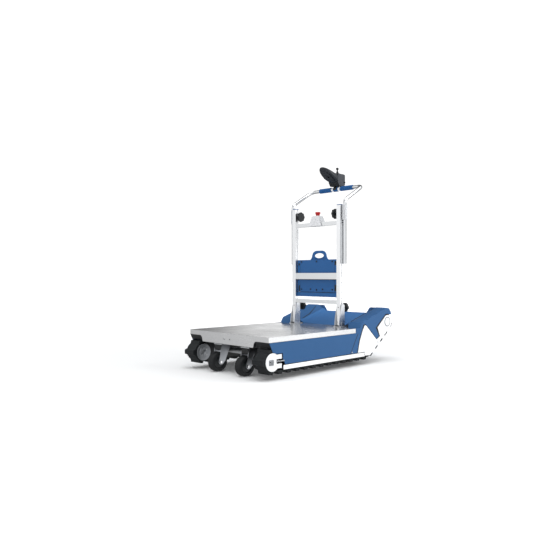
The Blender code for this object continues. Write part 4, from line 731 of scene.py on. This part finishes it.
# Mast: the lips that close each profile slot, and the screws in them
mastLook = {"faces": (0.2034, 0.1734), "slotY": 0.2256, "gaps": (0.0023, 0.0019), "mouth": 0.0039, "thick": 0.0012,
            "sink": 0.0001, "runs": ((0.2640, 0.9100), (0.9500, 0.9800)),
            "uprightScrew": (0.1884, 0.2106, 0.3461), "uprightSize": 0.0030,
            "slotScrews": (0.2031, (0.44, 0.50, 0.56)), "slotSize": 0.0026,
            "stripScrews": ((0.2076, 0.2268), (0.7943, 0.8252, 0.8747)), "stripSize": 0.0016,
            "footBolts": [(0.1655, 0.2010, 0.2289), (0.2140, 0.2010, 0.2289), (0.1655, 0.2560, 0.2289),
                          (0.2140, 0.2560, 0.2289)], "footSize": 0.0034,
            # thin black strips painted as the shadows under the middle bar and over the battery tray
            "shadeStrips": {"tray_shade_strip": ((-0.1700, 0.2238, 0.4341), (0.1700, 0.2260, 0.4366)),
                      "bar_shade_strip": ((-0.1700, 0.2140, 0.5172), (0.1700, 0.2165, 0.5200))},
            "bandX": (0.2072, 0.2081), "bandY": (0.2160, 0.2300), "bands": ((0.8690, 0.8730), (0.8830, 0.8860))}
lips = []
for way in (-1, 1):
    for face, inward, gap in zip(mastLook["faces"], (-1, 1), mastLook["gaps"]):
        for start, stop in mastLook["runs"]:
            for hand in (-1, 1):
                near = mastLook["slotY"] + hand * gap
                far = mastLook["slotY"] + hand * mastLook["mouth"]
                ends = sorted(way * (face + inward * mastLook[depth]) for depth in ("sink", "thick"))
                lips.append(boxFrom((ends[0], min(near, far), start), (ends[1], max(near, far), stop)))
settle(joinPieces(lips), "slot_lips", finishes["anodisedProfile"], "mast")
placeFasteners("upright_screws", "screw", finishes["blackMoulding"], "mast", mirrored([mastLook["uprightScrew"]]),
               (0, -1, 0), mastLook["uprightSize"])
for side, way in (("left", -1), ("right", 1)):
    x, heights = mastLook["slotScrews"]
    placeFasteners("slot_screws_" + side, "screw", finishes["blackMoulding"], "mast",
                   [(way * x, mastLook["slotY"], z) for z in heights], (way, 0, 0), mastLook["slotSize"])
    (x, y), heights = mastLook["stripScrews"]
    placeFasteners("strip_screws_" + side, "screw", finishes["blackMoulding"], "mast",
                   [(way * x, y, z) for z in heights], (way, 0, 0), mastLook["stripSize"])
placeFasteners("foot_bolts", "bolt", finishes["brightScrew"], "base", mirrored(mastLook["footBolts"]), (0, 0, 1),
               mastLook["footSize"])
# painted shadow: one black strip under the middle bar and one over the tray
for name, (low, high) in mastLook["shadeStrips"].items():
    settle(boxFrom(low, high), name, finishes["blackMoulding"], "mast")
bands = []
for way in (-1, 1):
    ends = sorted(way * reach for reach in mastLook["bandX"])
    for low, high in mastLook["bands"]:
        bands.append(boxFrom((ends[0], mastLook["bandY"][0], low), (ends[1], mastLook["bandY"][1], high)))
settle(joinPieces(bands), "strip_bands", finishes["slateMoulding"], "mast")
print("mast trim made")

# Battery: clips, black lines painted as the shade in its face's grooves, and cover screws on its face
batteryLook = {"face": 0.2262, "screwSize": 0.0056, "sunk": 0.0005, "proud": {"clips": 0.0010, "edges": 0.0003},
               # places and corners as x and z on the pack's face
               "screws": [(-0.1350, 0.634), (-0.0046, 0.634), (0.1269, 0.633), (-0.1350, 0.4538), (-0.0555, 0.4552),
                          (-0.0046, 0.4509), (0.0469, 0.4550), (0.1269, 0.4552)],
               "clips": [(-0.1600, 0.6110, -0.1490, 0.6230), (-0.1600, 0.4410, -0.1490, 0.4800),
                         (0.1475, 0.6090, 0.1600, 0.6340), (0.1475, 0.4450, 0.1600, 0.4860)],
               # black lines painted as the shade in the face's two grooves
               "edges": [(-0.1482, 0.4400, -0.1470, 0.6430), (0.1440, 0.4400, 0.1452, 0.6430)],
               # a ring round a hole of radius one, stretched to the finger hole's ellipse
               "rim": [(-0.0054, 1.0), (-0.0064, 1.04), (-0.0064, 1.16), (-0.0050, 1.22), (0.0050, 1.22),
                       (0.0064, 1.16), (0.0064, 1.04), (0.0054, 1.0)], "rimSteps": 64,
               "rimPlace": (0, 0.24975, 0.6720), "rimSize": (0.0418, 1.0, 0.0163, 1.0)}
placeFasteners("battery_screws", "screw", finishes["blackMoulding"], "battery",
               [(x, batteryLook["face"], z) for x, z in batteryLook["screws"]], (0, -1, 0), batteryLook["screwSize"])
batteryTrim = []
for group, depth in batteryLook["proud"].items():
    near, far = batteryLook["face"] - depth, batteryLook["face"] + batteryLook["sunk"]
    batteryTrim += [boxFrom((left, near, low), (right, far, high)) for left, low, right, high in batteryLook[group]]
settle(joinPieces(batteryTrim), "battery_clips_and_shade_lines", finishes["blackMoulding"], "battery")
rim = turnPiece(batteryLook["rim"], (0, 1, 0), (0, 0, 0), batteryLook["rimSteps"])
rim.data.transform(Matrix.Translation(at(*batteryLook["rimPlace"])) @ Matrix.Diagonal(batteryLook["rimSize"]))
settle(rim, "finger_hole_rim", finishes["blueMoulding"], "battery")
print("battery trim made")

# Handle bar collars
collarLook = {"x": (0.0192, 0.0352), "radius": 0.0124, "edge": 0.0006, "steps": 40}
for side, way in (("left", -1), ("right", 1)):
    start, stop = collarLook["x"]
    bore = handleLook["tubeRadius"] + handleLook["boreGap"]
    size, edge = collarLook["radius"], collarLook["edge"]
    collar = turnPiece([(start, bore), (start, size - edge), (start + edge, size), (stop - edge, size),
                        (stop, size - edge), (stop, bore)], (way, 0, 0), (0, barY, barZ), collarLook["steps"])
    settle(collar, "bar_collar_" + side, finishes["whitePowder"], "handle")

# A raised bead painted black as the shade along the console hood's ridge, a black disc painted as the shade in its
# oval recess, and a stub on its side
hoodLook = {"bead": [(0.0215, 0.2958, 1.2147), (0.0275, 0.3035, 1.2096), (0.0318, 0.3140, 1.2024),
                     (0.0343, 0.3309, 1.1914), (0.0336, 0.3430, 1.1840), (0.0310, 0.3570, 1.1762),
                     (0.0262, 0.3720, 1.1683)], "beadRadius": 0.0023, "beadFineness": 3,
            "recessShade": [(-0.0040, 0.0), (-0.0040, 0.0185), (-0.0002, 0.0185), (0.0006, 0.0176), (0.0010, 0.0160),
                    (0.0012, 0.0)],
            "recessShadePlace": (0.0068, 0.3334, 1.1881), "recessShadeNormal": (0.03, -0.53, -0.84), "recessShadeLift": 0.0056,
            "recessShadeSteps": 40, "stubSteps": 24,
            "stub": [(0.0390, 0.0), (0.0390, 0.0042), (0.0455, 0.0042), (0.0463, 0.0034), (0.0463, 0.0)],
            "stubPlace": (0, 0.4582, 1.1634)}
makeTube("hood_ridge_shade_bead", [at(*place) for place in hoodLook["bead"]], hoodLook["beadRadius"], finishes["shadeRubber"],
         "handle", hoodLook["beadFineness"])
recessShadeNormal = Vector(hoodLook["recessShadeNormal"]).normalized()
recessShade = turnPiece(hoodLook["recessShade"], recessShadeNormal, at(*hoodLook["recessShadePlace"]) + recessShadeNormal * hoodLook["recessShadeLift"],
                hoodLook["recessShadeSteps"])
settle(recessShade, "hood_recess_shade", finishes["shadeRubber"], "handle")
stub = turnPiece(hoodLook["stub"], (1, 0, 0), at(*hoodLook["stubPlace"]), hoodLook["stubSteps"])
settle(stub, "console_stub", finishes["blackMoulding"], "handle")
print("handle trim made")

for master in masters.values():
    bpy.data.objects.remove(master, do_unlink=True)


# Studio: pale floor, soft light from all round with dim strips between, and the photograph's camera
studio = {
    "cameraPlace": (2.4567, -2.5918, 0.5469), "cameraTurn": 45.27, "lens": 37.88, "sensor": 36, "nearClip": 0.05,
    "floorSize": 60, "floorHex": "DFE0E1", "floorRoughness": 0.8, "floorSpecular": 0.1,
    # the floor's own glow grows from the first strength to the second between these distances
    "floorGlow": (0.03, 0.45), "glowReach": (1.0, 4.0),
    # strength of the surround by compass angle in degrees, 0 along +X and 90 along +Y
    "skyStrip": ((-180, 0.35), (-166, 0.75), (-150, 0.75), (-138, 0.90), (-126, 1.60), (-112, 1.60), (-90, 1.10),
                 (-60, 1.00), (0, 0.95), (45, 0.82), (74, 0.80), (86, 0.20), (104, 0.22), (112, 1.35), (130, 1.75),
                 (137, 1.40), (143, 0.20), (160, 0.20), (180, 0.35)),
    "groundStrip": ((-180, 0.45), (-150, 0.50), (-138, 0.72), (-126, 1.00), (-90, 0.70), (0, 1.10), (45, 1.70),
                    (62, 1.30), (72, 0.30), (150, 0.30), (180, 0.55)),
    "highStrip": ((-180, 0.50), (-150, 0.90), (-126, 1.20), (-60, 1.00), (0, 1.00), (45, 0.90), (80, 0.60),
                  (98, 0.35), (108, 0.50), (116, 0.15), (147, 0.15), (154, 0.28), (165, 0.28), (180, 0.50)),
    # factor on them by height, from -1 straight down to 1 straight up: a dim ring lies under the overhead light
    "heightStrip": ((-1.0, 0.80), (-0.50, 0.80), (-0.25, 0.95), (-0.10, 1.00), (0.54, 1.00), (0.60, 0.65),
                    (0.80, 0.65), (0.88, 3.60), (1.0, 3.60)),
    # heights between which ground turns to sky and sky to high, and the strength that the camera itself sees
    "horizon": (-0.12, 0.04), "upper": (0.13, 0.22), "stripTop": 4.0, "backdrop": 1.1,
    # place, width, height and power of each lamp, all turned to the middle of the trolley
    "lamps": {"right": ((3.0, 1.8, 2.4), 1.8, 1.8, 60), "lowRight": ((3.2, 2.6, 0.40), 3.0, 0.5, 9)},
    "lampAim": (0, 0, 0.3)}


def makeStrip(tree, along, stops, first, last):
    # A ramp over an angle or a height; it holds 0 to 1 and is scaled to the strip's top strength.
    span = addNode(tree, "ShaderNodeMapRange", {"From Min": first, "From Max": last}, {"Value": along})
    ramp = addNode(tree, "ShaderNodeValToRGB", links={"Fac": span.outputs["Result"]})
    elements = ramp.color_ramp.elements
    for index, (mark, level) in enumerate(stops):
        place = (mark - stops[0][0]) / (stops[-1][0] - stops[0][0])
        stop = elements[index] if index < 2 else elements.new(place)
        stop.position = place
        stop.color = (level / studio["stripTop"],) * 3 + (1.0,)
    scaled = addNode(tree, "ShaderNodeMath", {1: studio["stripTop"]}, {0: ramp.outputs["Color"]},
                     operation="MULTIPLY")
    return scaled.outputs[0]


def makeStep(tree, height, ends):
    span = addNode(tree, "ShaderNodeMapRange", {"From Min": ends[0], "From Max": ends[1]}, {"Value": height},
                   interpolation_type="SMOOTHSTEP")
    return span.outputs["Result"]


def makeWorld():
    world = bpy.data.worlds.new("studio light")
    world.use_nodes = True
    tree = world.node_tree
    background = tree.nodes["Background"]
    background.inputs["Color"].default_value = (1, 1, 1, 1)
    place = addNode(tree, "ShaderNodeTexCoord")
    parts = addNode(tree, "ShaderNodeSeparateXYZ", links={"Vector": place.outputs["Generated"]})
    compass = addNode(tree, "ShaderNodeMath", links={0: parts.outputs["Y"], 1: parts.outputs["X"]},
                      operation="ARCTAN2")
    sky = makeStrip(tree, compass.outputs[0], studio["skyStrip"], -math.pi, math.pi)
    ground = makeStrip(tree, compass.outputs[0], studio["groundStrip"], -math.pi, math.pi)
    high = makeStrip(tree, compass.outputs[0], studio["highStrip"], -math.pi, math.pi)
    height = makeStrip(tree, parts.outputs["Z"], studio["heightStrip"], -1.0, 1.0)
    horizon = makeStep(tree, parts.outputs["Z"], studio["horizon"])
    around = addNode(tree, "ShaderNodeMix", data_type="FLOAT", links={"Factor": horizon, 2: ground, 3: sky})
    upper = makeStep(tree, parts.outputs["Z"], studio["upper"])
    whole = addNode(tree, "ShaderNodeMix", data_type="FLOAT", links={"Factor": upper, 2: around.outputs[0], 3: high})
    level = addNode(tree, "ShaderNodeMath", links={0: whole.outputs[0], 1: height}, operation="MULTIPLY")
    seen = addNode(tree, "ShaderNodeLightPath")
    shown = addNode(tree, "ShaderNodeMix", {3: studio["backdrop"]},
                    {0: seen.outputs["Is Camera Ray"], 2: level.outputs[0]}, data_type="FLOAT")
    tree.links.new(shown.outputs[0], background.inputs["Strength"])
    bpy.context.scene.world = world


def makeStudio():
    deselectAll()
    bpy.ops.mesh.primitive_plane_add(size=studio["floorSize"])
    floor = bpy.context.object
    floor.name = "floor"
    surface = bpy.data.materials.new("studio floor")
    surface.use_nodes = True
    tree = surface.node_tree
    shader = tree.nodes["Principled BSDF"]
    shader.inputs["Base Color"].default_value = linearColour(studio["floorHex"])
    shader.inputs["Roughness"].default_value = studio["floorRoughness"]
    shader.inputs["Specular IOR Level"].default_value = studio["floorSpecular"]
    shader.inputs["Emission Color"].default_value = (1, 1, 1, 1)
    place = addNode(tree, "ShaderNodeTexCoord")
    reach = addNode(tree, "ShaderNodeVectorMath", links={0: place.outputs["Object"]}, operation="LENGTH")
    near, far = studio["glowReach"]
    weak, strong = studio["floorGlow"]
    glow = addNode(tree, "ShaderNodeMapRange", {"From Min": near, "From Max": far, "To Min": weak, "To Max": strong},
                   {"Value": reach.outputs["Value"]}, interpolation_type="SMOOTHSTEP")
    tree.links.new(glow.outputs["Result"], shader.inputs["Emission Strength"])
    floor.data.materials.append(surface)
    floor.visible_glossy = False
    makeWorld()
    for name, (place, width, height, power) in studio["lamps"].items():
        light = bpy.data.lights.new(name, "AREA")
        light.shape = "RECTANGLE"
        light.size = width
        light.size_y = height
        light.energy = power
        lamp = bpy.data.objects.new(name, light)
        lamp.location = place
        lamp.rotation_euler = (Vector(studio["lampAim"]) - Vector(place)).to_track_quat("-Z", "Y").to_euler()
        bpy.context.scene.collection.objects.link(lamp)
    camera = bpy.data.objects.new("camera", bpy.data.cameras.new("camera"))
    bpy.context.scene.collection.objects.link(camera)
    camera.location = studio["cameraPlace"]
    camera.rotation_euler = (math.radians(90), 0, math.radians(studio["cameraTurn"]))
    camera.data.lens = studio["lens"]
    camera.data.sensor_width = studio["sensor"]
    camera.data.clip_start = studio["nearClip"]
    bpy.context.scene.camera = camera
    bpy.context.scene.view_settings.view_transform = "Standard"


makeStudio()
print("studio made")
